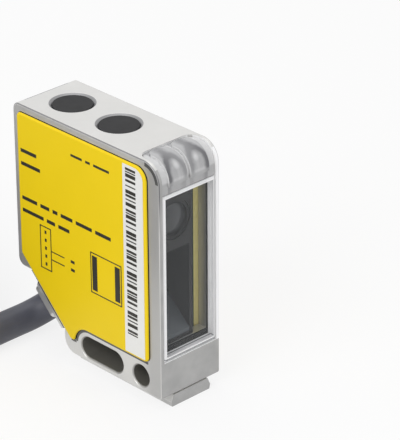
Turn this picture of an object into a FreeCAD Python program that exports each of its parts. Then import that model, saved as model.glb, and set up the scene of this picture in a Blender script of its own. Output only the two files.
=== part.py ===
import FreeCAD, Part
import math
import os
import Sketcher
from FreeCAD import Placement, Rotation, Vector

# Block sensor of a through-beam safety pair.
# X runs across the two side covers, Y from the optical face to the back, Z up.
# The origin is the middle of the dovetail foot's sole. All sizes are millimetres.

doc = FreeCAD.newDocument("through_beam_sensor")
sheet = doc.addObject("Spreadsheet::Sheet", "Sizes")

DRIVING_SIZES = [
    # frame, outside
    ("frame_width", 15.6, "frame across, without the covers"),
    ("frame_depth", 41.5, "optical face to back"),
    ("body_height", 50.0, "body above the mounting face"),
    ("front_corner", 4.25, "radius where the light window turns the corner"),
    ("rear_corner", 1.5, "radius of the upper rear corner"),
    ("base_corner", 0.6, "radius of the lower front corner"),
    ("edge_round", 0.3, "radius along both outlines of the frame"),
    ("lug_reach", 7.35, "slot's last centre to the lug's rear end"),
    ("lug_corner", 3.0, "radius of the lug's lower rear corner"),
    ("nose_rise", 14.3, "mounting face to the back wall's lower end"),
    ("nose_run", 4.15, "that end, from the back to the rear slope"),
    ("nose_round", 1.8, "radius of the back wall's lower end"),
    # foot
    ("foot_height", 2.5, "dovetail foot, sole to mounting face"),
    ("foot_neck", 9.1, "foot across, at the mounting face"),
    ("foot_widest", 10.4, "foot across, at its edges"),
    ("foot_sole", 10.0, "foot across, at the sole"),
    ("foot_edge_level", 1.0, "height of the foot's edges"),
    ("foot_length", 26.65, "optical face to the foot's rear end"),
    # mounting holes
    ("hole_wall", 0.95, "wall between the mounting face and hole or slot"),
    ("hole_radius", 2.25, "round hole and slot, half width"),
    ("hole_from_front", 5.83, "optical face to the round hole"),
    ("slot_spacing", 7.42, "round hole to the slot's first centre"),
    ("hole_bevel", 0.3, "bevel at the holes' mouths"),
    # cover recess
    ("rim_top", 1.41, "rim above the covers"),
    ("rim_front", 3.08, "rim in front of the covers"),
    ("rim_back", 1.45, "rim behind the covers"),
    ("rim_slope", 0.45, "rim along the rear slope"),
    ("rim_slot", 1.58, "rim between slot and covers"),
    ("recess_depth", 0.55, "recess for a cover"),
    ("seat_width", 1.1, "seat that the covers' seals lie on"),
    ("tip_rise", 0.25, "lower tip of the covers, above the middle of the slot"),
    ("tip_width", 1.24, "flat end of that tip"),
    ("cover_front_corner", 2.9, "cover, upper front corner"),
    ("cover_rear_corner", 1.1, "cover, both rear corners"),
    ("cover_lower_corner", 1.3, "cover, lower front corner"),
    ("cover_tip_round", 0.5, "cover, both corners of the tip"),
    # covers
    ("cover_gap", 0.1, "cover to recess"),
    ("cover_proud", 0.6, "cover beyond the frame"),
    ("cover_edge", 0.45, "rounding of the cover's outer edge"),
    ("seal_thickness", 0.2, "cover seals"),
    ("label_thickness", 0.1, "printed label"),
    ("label_width", 5.5, "label along the cover"),
    ("label_margin", 0.75, "label to the cover's front edge"),
    ("label_foot", 0.7, "label to the cover's lower edge"),
    ("label_head", 0.6, "label to the cover's upper edge"),
    ("label_corner", 2.3, "label's upper front corner"),
    # cable collar
    ("collar_width", 11.6, "collar across"),
    ("collar_length", 7.4, "collar along the slope"),
    ("collar_reach", 5.07, "collar out of the slope"),
    ("collar_drop", 6.02, "slope's upper end to the middle of the collar"),
    ("collar_round", 1.0, "radius of the collar's corners"),
    ("cable_radius", 3.1, "sheath of the cable, radius"),
    ("cable_gap", 0.1, "cable to bore"),
    # window
    ("window_side", 0.8, "frame's side face to the pocket of pane and light window"),
    ("window_rise", 7.8, "mounting face to that pocket's lower edge"),
    ("window_depth", 2.1, "depth of that pocket"),
    ("window_drop", 6.7, "top face to where the pane meets the light window"),
    ("light_flat", 2.6, "light window, flat length on the top face"),
    ("opening_side", 0.8, "pocket to the opening behind the pane, sideways"),
    ("opening_rise", 2.1, "pocket to that opening, lower edge"),
    ("opening_drop", 1.0, "pane's upper end to that opening's upper edge"),
    ("light_opening_side", 1.3, "pocket to the opening under the light window, sideways"),
    ("light_opening_rise", 1.4, "pane's upper end to that opening"),
    ("light_opening_reach", 5.6, "optical face to that opening's rear edge"),
    ("pane_gap", 0.08, "pane and light window to their pocket"),
    ("pane_thickness", 1.6, "pane"),
    ("pane_bevel", 0.45, "bevel round the pane"),
    ("light_wall", 1.5, "light window, wall"),
    ("light_set_back", 0.45, "light window's skin below its ribs"),
    ("rib_side", 1.67, "light window's side edge to its rib"),
    ("rib_space", 0.7, "gap between the two ribs"),
    ("rib_rise", 1.7, "pane's upper end to the ribs' lower end"),
    # top plugs
    ("plug_from_back", 8.76, "back to the rear plug's middle"),
    ("plug_spacing", 13.37, "middle to middle of the plugs"),
    ("plug_radius", 4.0, "plug head"),
    ("plug_ring_radius", 4.7, "bevelled ring round the plug"),
    ("plug_bevel", 0.5, "depth of that ring"),
    ("plug_head", 1.2, "plug head, height"),
    ("plug_sink", 0.2, "plug head below the top face"),
    ("plug_neck_radius", 3.3, "plug neck"),
    ("plug_neck", 1.7, "plug neck, length"),
    ("plug_gap", 0.1, "plug to its hole"),
    ("ring_thickness", 0.7, "sealing ring of a plug"),
    # inside
    ("inner_gap", 0.15, "clearance between inner pieces"),
    ("board_thickness", 1.5, "main board"),
    ("board_inset", 0.95, "main board to the cover beside it"),
    ("optics_board_thickness", 1.0, "board behind the carrier"),
    ("optics_board_reach", 15.75, "optical face to that board's front"),
    ("optics_board_rise", 0.6, "opening behind the pane to that board's lower edge"),
    ("optics_board_crest", 1.8, "opening under the light window to that board's upper edge"),
    ("carrier_to_board", 2.2, "carrier to the main board"),
    ("carrier_front", 2.35, "optical face to the carrier's front"),
    ("carrier_wall", 0.8, "wall of the carrier's chamber"),
    ("chamber_drop", 12.4, "opening's upper edge to the carrier's chamber"),
    ("chamber_depth", 9.5, "depth of that chamber"),
    ("lens_drop", 6.2, "opening's upper edge to the lens centre"),
    ("lens_side", 0.42, "carrier's side to the lens"),
    ("lens_edge", 0.9, "lens, edge thickness"),
    ("lens_margin", 0.6, "lens, width of its flat rim"),
    ("lens_curve", 7.0, "radius of the lens's dome"),
    ("retainer_thickness", 0.7, "ring in front of the lens edge"),
    ("lens_sink", 0.35, "ring behind the carrier's front"),
    ("baffle_rise", 6.4, "height that the baffle's ramp gains"),
    ("baffle_lip", 0.8, "baffle, thickness at its front"),
    ("baffle_crest", 2.2, "flat length behind the baffle's ramp"),
    ("lamp_clearance", 0.9, "light source to the bore around it"),
    ("lamp_length", 5.0, "light source, without its dome"),
    ("lamp_flange", 0.4, "light source, width of its flange"),
    ("lamp_flange_height", 1.0, "light source, thickness of its flange"),
    ("guide_width", 2.4, "light guide across"),
    ("guide_height", 1.8, "light guide, height"),
    ("guide_rise", 0.1, "opening under the light window to the light guides"),
    ("led_width", 1.6, "indicator lamp across"),
    ("led_height", 1.0, "indicator lamp, height"),
    ("led_depth", 0.8, "indicator lamp, thickness"),
    ("header_depth", 2.5, "pin header, both ways across"),
    ("header_height", 10.2, "pin header, height"),
    ("header_rise", 7.0, "optics board's lower edge to the pin header"),
    ("pin_width", 0.6, "header pin across"),
    ("chip_drop", 5.5, "main board's upper edge to the first chip"),
    ("chip_height", 7.0, "first chip, up the board"),
    ("chip_thickness", 1.2, "chips"),
    ("chip_gap", 2.5, "first chip to the second"),
    ("second_chip_height", 5.0, "second and third chip, up the board"),
    ("can_height", 5.5, "capacitor can, height"),
    ("can_drop", 3.0, "main board's upper edge to the first can's middle"),
    ("can_spacing", 7.0, "capacitor cans, middle to middle"),
    # cable entry
    ("bush_length", 2.0, "rubber bush on the cable"),
    ("bush_wall", 1.1, "wall of the rubber bush"),
    ("clamp_length", 2.6, "clamp ring on the cable"),
    ("clamp_wall", 0.8, "wall of the clamp ring"),
    ("clamp_gap", 0.1, "bush to clamp ring"),
    ("sheath_length", 6.4, "sheath inside the housing"),
    ("core_radius", 0.6, "cores of the cable"),
    # print
    ("print_thickness", 0.04, "printed marks"),
]


class Size:
    """A length with its number and the sheet formula that gives it."""

    def __init__(self, number, formula):
        self.number = number
        self.formula = formula

    def __add__(self, other):
        other = as_size(other)
        return Size(self.number + other.number, f"({self.formula} + {other.formula})")

    def __sub__(self, other):
        other = as_size(other)
        return Size(self.number - other.number, f"({self.formula} - {other.formula})")

    def __mul__(self, other):
        other = as_size(other)
        return Size(self.number * other.number, f"({self.formula} * {other.formula})")

    def __truediv__(self, other):
        other = as_size(other)
        return Size(self.number / other.number, f"({self.formula} / {other.formula})")

    def __neg__(self):
        return Size(-self.number, f"(0 - {self.formula})")

    def root(self):
        return Size(math.sqrt(self.number), f"sqrt({self.formula})")


def as_size(value):
    return value if isinstance(value, Size) else Size(float(value), repr(float(value)))


sheet_sizes = {}
for row, (alias, number, meaning) in enumerate(DRIVING_SIZES, start=1):
    sheet.set(f"A{row}", meaning)
    sheet.set(f"B{row}", str(number))
    sheet.setAlias(f"B{row}", alias)
    sheet_sizes[alias] = Size(float(number), f"Sizes.{alias}")
doc.recompute()


def size(alias):
    return sheet_sizes[alias]


# Helpers


def tie(thing, prop, value):
    """Bind one property of an object to the sheet."""
    thing.setExpression(prop, as_size(value).formula)


def new_body(label):
    body = doc.addObject("PartDesign::Body", label)
    body.Label = label
    return body


def new_sketch(body, name, role, offset=0.0):
    """A sketch on one of the body's own origin planes, moved along its normal."""
    sketch = body.newObject("Sketcher::SketchObject", name)
    plane = [feature for feature in body.Origin.OriginFeatures if feature.Role == role][0]
    sketch.AttachmentSupport = [(plane, "")]
    sketch.MapMode = "FlatFace"
    tie(sketch, "AttachmentOffset.Base.z", offset)
    return sketch


def pin(sketch, piece, point, u, v):
    """Tie one point of the sketch to the sheet, from the sketch's origin."""
    for kind, value in (("DistanceX", u), ("DistanceY", v)):
        if value is None:
            continue
        value = as_size(value)
        if value.number == 0.0:
            axis = -2 if kind == "DistanceX" else -1
            sketch.addConstraint(Sketcher.Constraint("PointOnObject", piece, point, axis))
            continue
        index = sketch.addConstraint(Sketcher.Constraint(kind, -1, 1, piece, point, value.number))
        sketch.setExpression(f"Constraints[{index}]", value.formula)


def draw_polygon(sketch, corners):
    """A closed outline of straight lines, each corner tied to the sheet."""
    corners = [(as_size(u), as_size(v)) for u, v in corners]
    first = sketch.GeometryCount
    count = len(corners)
    for index in range(count):
        start = corners[index]
        end = corners[(index + 1) % count]
        line = Part.LineSegment(
            Vector(start[0].number, start[1].number, 0), Vector(end[0].number, end[1].number, 0)
        )
        sketch.addGeometry(line)
    for index in range(count):
        after = first + (index + 1) % count
        sketch.addConstraint(Sketcher.Constraint("Coincident", first + index, 2, after, 1))
    for index, (u, v) in enumerate(corners):
        pin(sketch, first + index, 1, u, v)


def draw_rectangle(sketch, left, right, low, high):
    draw_polygon(sketch, [(left, low), (right, low), (right, high), (left, high)])


def draw_circle(sketch, u, v, radius):
    u, v, radius = as_size(u), as_size(v), as_size(radius)
    circle = Part.Circle(Vector(u.number, v.number, 0), Vector(0, 0, 1), radius.number)
    piece = sketch.addGeometry(circle)
    pin(sketch, piece, 3, u, v)
    index = sketch.addConstraint(Sketcher.Constraint("Radius", piece, radius.number))
    sketch.setExpression(f"Constraints[{index}]", radius.formula)


def draw_slot(sketch, first_u, last_u, v, radius):
    """A slot with round ends between two centres on one level."""
    near = Vector(first_u.number, v.number, 0)
    far = Vector(last_u.number, v.number, 0)
    up = Vector(0, radius.number, 0)
    quarter = math.pi / 2
    normal = Vector(0, 0, 1)
    near_arc = sketch.addGeometry(
        Part.ArcOfCircle(Part.Circle(near, normal, radius.number), quarter, 3 * quarter)
    )
    far_arc = sketch.addGeometry(
        Part.ArcOfCircle(Part.Circle(far, normal, radius.number), -quarter, quarter)
    )
    lower = sketch.addGeometry(Part.LineSegment(near - up, far - up))
    upper = sketch.addGeometry(Part.LineSegment(far + up, near + up))
    for first, first_point, second, second_point in (
        (near_arc, 2, lower, 1),
        (lower, 2, far_arc, 1),
        (far_arc, 2, upper, 1),
        (upper, 2, near_arc, 1),
    ):
        sketch.addConstraint(
            Sketcher.Constraint("Tangent", first, first_point, second, second_point)
        )
    pin(sketch, near_arc, 3, first_u, v)
    pin(sketch, far_arc, 3, last_u, v)
    for arc in (near_arc, far_arc):
        index = sketch.addConstraint(Sketcher.Constraint("Radius", arc, radius.number))
        sketch.setExpression(f"Constraints[{index}]", radius.formula)


def extrude(body, kind, name, sketch, length, both_ways=False, backwards=False):
    """A pad or pocket of the sketch; the body's volume has to change the right way."""
    before = body.Shape.Volume if body.Shape and not body.Shape.isNull() else 0.0
    feature = body.newObject(f"PartDesign::{kind}", name)
    feature.Profile = sketch
    feature.Type = "Length"
    tie(feature, "Length", length)
    if both_ways:
        feature.SideType = "Symmetric"
    feature.Reversed = backwards
    body.Tip = feature
    doc.recompute()
    change = body.Shape.Volume - before
    if (kind == "Pad") != (change > 0.0) or abs(change) < 1e-6:
        raise RuntimeError(f"{body.Label}: {name} changes the volume by {change}")
    return feature


def pad(body, name, sketch, length, **ways):
    return extrude(body, "Pad", name, sketch, length, **ways)


def pocket(body, name, sketch, length, **ways):
    return extrude(body, "Pocket", name, sketch, length, **ways)


def mirror(body, name, feature):
    """The same feature on the other side of the middle plane across X."""
    plane = [item for item in body.Origin.OriginFeatures if item.Role == "YZ_Plane"][0]
    other = body.newObject("PartDesign::Mirrored", name)
    other.Originals = [feature]
    other.MirrorPlane = (plane, [""])
    body.Tip = other
    doc.recompute()
    return other


def edges_where(shape, wanted):
    """Names of the edges that the test accepts."""
    return [f"Edge{index}" for index, edge in enumerate(shape.Edges, start=1) if wanted(edge)]


def edges_along(shape, axis, places, near=0.02):
    """Names of the straight edges along X, Y or Z that pass through the given places."""
    others = [index for index in range(3) if index != axis]

    def wanted(edge):
        if not isinstance(edge.Curve, Part.Line) or len(edge.Vertexes) != 2:
            return False
        points = [vertex.Point for vertex in edge.Vertexes]
        if abs(points[0][axis] - points[1][axis]) < 1e-4:
            return False
        for place in places:
            here = [as_size(value).number for value in place]
            if all(
                abs(point[others[0]] - here[0]) < near and abs(point[others[1]] - here[1]) < near
                for point in points
            ):
                return True
        return False

    return edges_where(shape, wanted)


def dress(body, kind, name, edges, amount):
    """Round or bevel edges of the body's last feature."""
    if not edges:
        raise RuntimeError(f"{body.Label}: {name} finds no edges")
    base = body.Tip
    feature = body.newObject(f"PartDesign::{kind}", name)
    feature.Base = (base, edges)
    tie(feature, "Radius" if kind == "Fillet" else "Size", amount)
    body.Tip = feature
    doc.recompute()
    return feature


def round_edges(body, name, edges, radius):
    return dress(body, "Fillet", name, edges, radius)


def bevel_edges(body, name, edges, depth):
    return dress(body, "Chamfer", name, edges, depth)


def place(thing, x, y, z, turn=None):
    """Put an object at a place tied to the sheet, turned by a fixed rotation."""
    if turn is not None:
        thing.Placement = Placement(Vector(0, 0, 0), turn)
    tie(thing, "Placement.Base.x", x)
    tie(thing, "Placement.Base.y", y)
    tie(thing, "Placement.Base.z", z)


def new_box(label, x, y, z):
    """A block between two values on each axis."""
    block = doc.addObject("Part::Box", label)
    block.Label = label
    for prop, (low, high) in (("Length", x), ("Width", y), ("Height", z)):
        tie(block, prop, as_size(high) - low)
    place(block, x[0], y[0], z[0])
    return block


ALONG_X = Rotation(Vector(0, 1, 0), 90)
ALONG_MINUS_X = Rotation(Vector(0, 1, 0), -90)
ALONG_Y = Rotation(Vector(1, 0, 0), -90)
ALONG_MINUS_Y = Rotation(Vector(1, 0, 0), 90)
UPRIGHT = Rotation()


def new_cylinder(label, centre, radius, height, turn=UPRIGHT):
    rod = doc.addObject("Part::Cylinder", label)
    rod.Label = label
    tie(rod, "Radius", radius)
    tie(rod, "Height", height)
    place(rod, *centre, turn=turn)
    return rod


def cut(label, base, tool):
    result = doc.addObject("Part::Cut", label)
    result.Label = label
    result.Base = base
    result.Tool = tool
    return result


def fuse(label, pieces):
    result = doc.addObject("Part::MultiFuse", label)
    result.Label = label
    result.Shapes = pieces
    result.Refine = True
    return result


def common(label, pieces):
    result = doc.addObject("Part::MultiCommon", label)
    result.Label = label
    result.Shapes = pieces
    return result


def group(label, pieces):
    """Several separate solids that share one node."""
    result = doc.addObject("Part::Compound", label)
    result.Label = label
    result.Links = pieces
    return result


# Places that several pieces share

ROOT_TWO = as_size(2).root()

half_width = size("frame_width") / 2
front = -(size("frame_depth") / 2)
back = size("frame_depth") / 2
base = size("foot_height")
top = base + size("body_height")

hole_y = front + size("hole_from_front")
hole_level = base + size("hole_wall") + size("hole_radius")
slot_start = hole_y + size("slot_spacing")

recess_front = front + size("rim_front")
recess_back = back - size("rim_back")
recess_top = top - size("rim_top")
recess_curve = size("hole_radius") + size("rim_slot")
recess_floor = hole_level + recess_curve

# The rear slope runs down at 45 degrees from the back wall's lower end to the tip of the covers.
# Each of its lines is known by the height at which it meets the middle plane.
nose_y = back - size("nose_run")
nose_level = base + size("nose_rise")
slope_base = nose_level - nose_y
recess_slope = slope_base + size("rim_slope") * ROOT_TWO
tip_level = hole_level + size("tip_rise")
tip_reach = (recess_curve * recess_curve - size("tip_rise") * size("tip_rise")).root()
slot_end = tip_level - recess_slope - size("tip_width") - tip_reach
lug_end = slot_end + size("lug_reach")
collar_place = (nose_y + nose_level) / ROOT_TWO - size("collar_drop")

cavity_front = recess_front + size("seat_width")
cavity_back = recess_back - size("seat_width")
cavity_top = recess_top - size("seat_width")
cavity_floor = recess_floor + size("seat_width")
cavity_slope = recess_slope + size("seat_width") * ROOT_TWO

seat_x = half_width - size("recess_depth")
inside_x = seat_x + size("seal_thickness")
cover_face = half_width + size("cover_proud")

window_half = half_width - size("window_side")
window_floor = base + size("window_rise")
window_joint = top - size("window_drop")
opening_half = window_half - size("opening_side")
opening_floor = window_floor + size("opening_rise")
opening_top = window_joint - size("opening_drop")
light_opening_half = window_half - size("light_opening_side")
light_opening_floor = window_joint + size("light_opening_rise")
light_back = front + size("front_corner") + size("light_flat")
light_opening_back = front + size("light_opening_reach")
pocket_back = front + size("window_depth")
pocket_floor = top - size("window_depth")
rear_plug_y = back - size("plug_from_back")
front_plug_y = rear_plug_y - size("plug_spacing")

rib_rear = light_back - size("pane_gap") - size("light_set_back")
rib_floor = window_joint + size("rib_rise")
rib_width = window_half - size("pane_gap") - size("rib_side") - size("rib_space") / 2
rib_middle = (size("rib_space") + rib_width) / 2
light_corner = size("light_flat") * 0.9

optics_board_front = front + size("optics_board_reach")
optics_board_back = optics_board_front + size("optics_board_thickness")
optics_board_floor = opening_floor + size("optics_board_rise")
optics_board_top = light_opening_floor + size("optics_board_crest")
guide_floor = light_opening_floor + size("guide_rise")
board_right = inside_x - size("board_inset")
board_left = board_right - size("board_thickness")
board_top = light_opening_floor - size("inner_gap")

# The cable leaves square to the rear slope, downwards and to the back.
exit_y = (collar_place + size("collar_reach")) / ROOT_TWO - slope_base / 2
exit_z = (collar_place - size("collar_reach")) / ROOT_TWO + slope_base / 2
INTO_HOUSING = Rotation(Vector(1, 0, 0), 45)
OUT_OF_HOUSING = Rotation(Vector(1, 0, 0), -135)


def on_cable_axis(depth):
    """Place on the cable's axis, this far inside the exit."""
    return exit_y - as_size(depth) / ROOT_TWO, exit_z + as_size(depth) / ROOT_TWO


def slope_place(along, out):
    """Place beside the rear slope: along its face and out of it."""
    y = (as_size(along) + out) / ROOT_TWO - slope_base / 2
    z = (as_size(along) - out) / ROOT_TWO + slope_base / 2
    return y, z


def cover_corners(inset):
    """The corners of the covers' outline, drawn in by the given gap."""
    curve = recess_curve + inset
    tip = tip_level + inset
    rise = size("tip_rise") + inset
    reach = (curve * curve - rise * rise).root()
    slope = recess_slope + as_size(inset) * ROOT_TWO
    rear = recess_back - inset
    return {
        "upper_front": (recess_front + inset, recess_top - inset),
        "upper_rear": (rear, recess_top - inset),
        "lower_rear": (rear, rear + slope),
        "tip_rear": (tip - slope, tip),
        "tip_front": (slot_end + reach, tip),
        "curve_end": (slot_end, hole_level + curve),
        "lower_front": (recess_front + inset, hole_level + curve),
    }


def draw_cover_outline(sketch, inset):
    """Straight edges, and one hollow curve that runs round the slot's end."""
    corners = cover_corners(inset)
    curve = recess_curve + inset
    names = ["upper_front", "upper_rear", "lower_rear", "tip_rear", "tip_front"]
    points = {key: Vector(y.number, z.number, 0) for key, (y, z) in corners.items()}
    for start, end in zip(names, names[1:]):
        sketch.addGeometry(Part.LineSegment(points[start], points[end]))
    centre = Vector(slot_end.number, hole_level.number, 0)
    begin = math.atan2(points["tip_front"].y - centre.y, points["tip_front"].x - centre.x)
    arc = sketch.addGeometry(
        Part.ArcOfCircle(Part.Circle(centre, Vector(0, 0, 1), curve.number), begin, math.pi / 2)
    )
    floor_line = sketch.addGeometry(Part.LineSegment(points["curve_end"], points["lower_front"]))
    front_line = sketch.addGeometry(Part.LineSegment(points["lower_front"], points["upper_front"]))
    pieces = list(range(front_line + 1))
    for piece, after in zip(pieces, pieces[1:] + pieces[:1]):
        sketch.addConstraint(Sketcher.Constraint("Coincident", piece, 2, after, 1))
    for piece, name in enumerate(names[:-1]):
        pin(sketch, piece, 1, *corners[name])
    pin(sketch, arc, 3, slot_end, hole_level)
    index = sketch.addConstraint(Sketcher.Constraint("Radius", arc, curve.number))
    sketch.setExpression(f"Constraints[{index}]", curve.formula)
    pin(sketch, arc, 1, None, corners["tip_front"][1])
    pin(sketch, floor_line, 1, slot_end, None)
    pin(sketch, front_line, 1, *corners["lower_front"])


def round_cover_corners(body, inset):
    corners = cover_corners(inset)
    for name, radius, keys in (
        ("upper_front_round", size("cover_front_corner") - inset, ["upper_front"]),
        ("rear_round", size("cover_rear_corner") - inset, ["upper_rear", "lower_rear"]),
        ("lower_front_round", size("cover_lower_corner") - inset, ["lower_front"]),
        ("tip_round", size("cover_tip_round"), ["tip_rear", "tip_front"]),
    ):
        edges = edges_along(body.Shape, 0, [corners[key] for key in keys])
        round_edges(body, name, edges, radius)


def cavity_outline(inset, slope_inset=0.0):
    """The inner space between the covers, drawn in by the given gap, and more at the slope."""
    slope = cavity_slope + (as_size(inset) + slope_inset) * ROOT_TWO
    rear = cavity_back - inset
    floor = cavity_floor + inset
    return [
        (cavity_front + inset, floor),
        (floor - slope, floor),
        (rear, rear + slope),
        (rear, cavity_top - inset),
        (cavity_front + inset, cavity_top - inset),
    ]


# Housing frame


def make_housing_frame():
    body = new_body("housing_frame")
    profile = new_sketch(body, "frame_profile", "YZ_Plane")
    corners = {
        "base_front": (front, base),
        "top_front": (front, top),
        "top_rear": (back, top),
        "nose_rear": (back, nose_level),
        "nose_front": (nose_y, nose_level),
        "lug_top": (lug_end, lug_end + slope_base),
        "lug_base": (lug_end, base),
    }
    draw_polygon(profile, list(corners.values()))
    pad(body, "frame_block", profile, size("frame_width"), both_ways=True)
    for key, radius in (
        ("top_front", size("front_corner")),
        ("top_rear", size("rear_corner")),
        ("nose_rear", size("nose_round")),
        ("lug_base", size("lug_corner")),
        ("base_front", size("base_corner")),
    ):
        edges = edges_along(body.Shape, 0, [corners[key]])
        round_edges(body, key + "_round", edges, radius)

    def outline_edge(edge):
        """On one of the two side outlines, but not on the rear slope."""
        ends = [vertex.Point for vertex in edge.Vertexes]
        if any(abs(abs(point.x) - half_width.number) > 1e-4 for point in ends):
            return False
        if abs(ends[0].x - ends[-1].x) > 1e-4:
            return False
        return any(abs(point.z - point.y - slope_base.number) > 1e-3 for point in ends)

    outline = edges_where(body.Shape, outline_edge)
    round_edges(body, "outline_round", outline, size("edge_round"))

    collar = new_sketch(body, "collar_profile", "YZ_Plane")
    reach = size("collar_reach")
    low_end = collar_place - size("collar_length") / 2
    high_end = collar_place + size("collar_length") / 2
    root = as_size(0) - size("rim_slope")
    draw_polygon(
        collar,
        [
            slope_place(low_end, root),
            slope_place(low_end, reach),
            slope_place(high_end, reach),
            slope_place(high_end, root),
        ],
    )
    pad(body, "collar", collar, size("collar_width"), both_ways=True)
    collar_tips = [slope_place(end, reach) for end in (low_end, high_end)]

    def collar_corner(edge):
        if not isinstance(edge.Curve, Part.Line):
            return False
        ends = [vertex.Point for vertex in edge.Vertexes]
        half = size("collar_width").number / 2
        if any(abs(abs(point.x) - half) > 1e-3 for point in ends):
            return False
        lean = ends[1] - ends[0]
        if abs(lean.x) > 1e-3 or abs(lean.y + lean.z) > 1e-3:
            return False
        return any(
            abs(point.y - y.number) < 0.02 and abs(point.z - z.number) < 0.02
            for point in ends
            for y, z in collar_tips
        )

    round_edges(
        body, "collar_corners", edges_where(body.Shape, collar_corner), size("collar_round")
    )

    foot = new_sketch(body, "foot_profile", "XZ_Plane", -front)
    neck = size("foot_neck") / 2
    edge_x = size("foot_widest") / 2
    sole = size("foot_sole") / 2
    level = size("foot_edge_level")
    draw_polygon(
        foot,
        [(-sole, 0), (sole, 0), (edge_x, level), (neck, base), (-neck, base), (-edge_x, level)],
    )
    pad(body, "dovetail_foot", foot, size("foot_length"), backwards=True)

    recess = new_sketch(body, "cover_recess_outline", "YZ_Plane", half_width)
    draw_cover_outline(recess, as_size(0))
    right_recess = pocket(body, "right_cover_recess", recess, size("recess_depth"))
    mirror(body, "left_cover_recess", right_recess)
    round_cover_corners(body, as_size(0))

    cavity = new_sketch(body, "cavity_outline", "YZ_Plane")
    draw_polygon(cavity, cavity_outline(as_size(0)))
    pocket(body, "cavity", cavity, size("frame_width"), both_ways=True)

    front_pocket = new_sketch(body, "pane_pocket_outline", "XZ_Plane", -front)
    draw_rectangle(front_pocket, -window_half, window_half, window_floor, top + 1)
    pocket(body, "pane_pocket", front_pocket, size("window_depth"))
    top_pocket = new_sketch(body, "light_pocket_outline", "XY_Plane", top)
    draw_rectangle(top_pocket, -window_half, window_half, front - 1, light_back)
    pocket(body, "light_pocket", top_pocket, size("window_depth"))
    rear_corners = [(-window_half, light_back), (window_half, light_back)]
    edges = edges_along(body.Shape, 2, rear_corners)
    round_edges(body, "light_pocket_corners", edges, light_corner)

    inner_corner = edges_along(body.Shape, 0, [(pocket_back, pocket_floor)])
    round_edges(
        body, "pocket_inner_corner", inner_corner, size("front_corner") - size("window_depth")
    )

    opening = new_sketch(body, "opening_outline", "XZ_Plane", -front)
    draw_rectangle(opening, -opening_half, opening_half, opening_floor, opening_top)
    pocket(body, "optics_opening", opening, cavity_front - front + 1)
    light_opening = new_sketch(body, "light_opening_outline", "XZ_Plane", -front)
    draw_rectangle(
        light_opening,
        -light_opening_half,
        light_opening_half,
        light_opening_floor,
        pocket_floor + size("pane_gap"),
    )
    pocket(body, "light_opening", light_opening, size("light_opening_reach"))

    for name, place_y in (
        ("front_plug", front_plug_y),
        ("rear_plug", rear_plug_y),
    ):
        seat = new_sketch(body, name + "_seat_outline", "XY_Plane", top)
        draw_circle(seat, 0, place_y, size("plug_radius") + size("plug_gap"))
        seat_depth = size("plug_sink") + size("plug_head") + size("ring_thickness")
        pocket(body, name + "_seat", seat, seat_depth)
        bore = new_sketch(body, name + "_bore_outline", "XY_Plane", top)
        draw_circle(bore, 0, place_y, size("plug_neck_radius") + size("plug_gap"))
        pocket(body, name + "_bore", bore, top - cavity_top + 0.5)
        rim = size("plug_radius") + size("plug_gap")

        def mouth(edge, y=place_y.number, radius=rim.number):
            if not isinstance(edge.Curve, Part.Circle):
                return False
            centre = edge.Curve.Center
            return (
                abs(edge.Curve.Radius - radius) < 1e-3
                and abs(centre.y - y) < 1e-3
                and abs(centre.z - top.number) < 1e-3
            )

        edges = edges_where(body.Shape, mouth)
        flare = size("plug_ring_radius") - size("plug_radius") - size("plug_gap")
        chamfer = bevel_edges(body, name + "_flare", edges, flare)
        chamfer.ChamferType = "Two distances"
        tie(chamfer, "Size2", size("plug_bevel"))
        doc.recompute()

    holes = new_sketch(body, "mounting_hole_outlines", "YZ_Plane")
    draw_circle(holes, hole_y, hole_level, size("hole_radius"))
    draw_slot(holes, slot_start, slot_end, hole_level, size("hole_radius"))
    pocket(body, "mounting_holes", holes, size("frame_width"), both_ways=True)

    def hole_mouth(edge):
        if any(abs(abs(vertex.X) - half_width.number) > 1e-3 for vertex in edge.Vertexes):
            return False
        return (
            edge.BoundBox.XLength < 1e-3
            and edge.BoundBox.ZMin > base.number + 0.2
            and edge.BoundBox.ZMax < (hole_level + size("hole_radius")).number + 0.1
            and edge.BoundBox.YMin > hole_y.number - size("hole_radius").number - 0.1
            and edge.BoundBox.YMax < slot_end.number + size("hole_radius").number + 0.1
        )

    bevel_edges(body, "hole_mouths", edges_where(body.Shape, hole_mouth), size("hole_bevel"))

    bore = new_sketch(body, "cable_bore_outline", "XY_Plane")
    bore.AttachmentOffset = Placement(Vector(0, 0, 0), OUT_OF_HOUSING)
    tie(bore, "AttachmentOffset.Base.y", exit_y)
    tie(bore, "AttachmentOffset.Base.z", exit_z)
    draw_circle(bore, 0, 0, size("cable_radius") + size("cable_gap"))
    wall = (cavity_slope - slope_base) / ROOT_TWO
    pocket(body, "cable_bore", bore, size("collar_reach") + wall + size("cable_radius"))
    return body


# Covers, seals and label


def make_side_cover(label, right):
    body = new_body(label)
    inner = inside_x if right else -inside_x
    sketch = new_sketch(body, label + "_outline", "YZ_Plane", inner)
    gap = size("cover_gap")
    draw_cover_outline(sketch, gap)
    pad(body, label + "_plate", sketch, cover_face - inside_x, backwards=not right)
    round_cover_corners(body, gap)
    face_x = cover_face.number if right else -cover_face.number

    def outer(edge):
        return all(abs(vertex.X - face_x) < 1e-4 for vertex in edge.Vertexes)

    round_edges(body, label + "_edge", edges_where(body.Shape, outer), size("cover_edge"))
    return body


def make_cover_seal(label, right):
    body = new_body(label)
    sketch = new_sketch(body, label + "_outline", "YZ_Plane", seat_x if right else -seat_x)
    draw_cover_outline(sketch, size("cover_gap"))
    pad(body, label + "_sheet", sketch, size("seal_thickness"), backwards=not right)
    round_cover_corners(body, size("cover_gap"))
    window = new_sketch(body, label + "_window", "YZ_Plane")
    draw_polygon(window, cavity_outline(as_size(0)))
    pocket(body, label + "_opening", window, size("frame_width"), both_ways=True)
    return body


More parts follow.
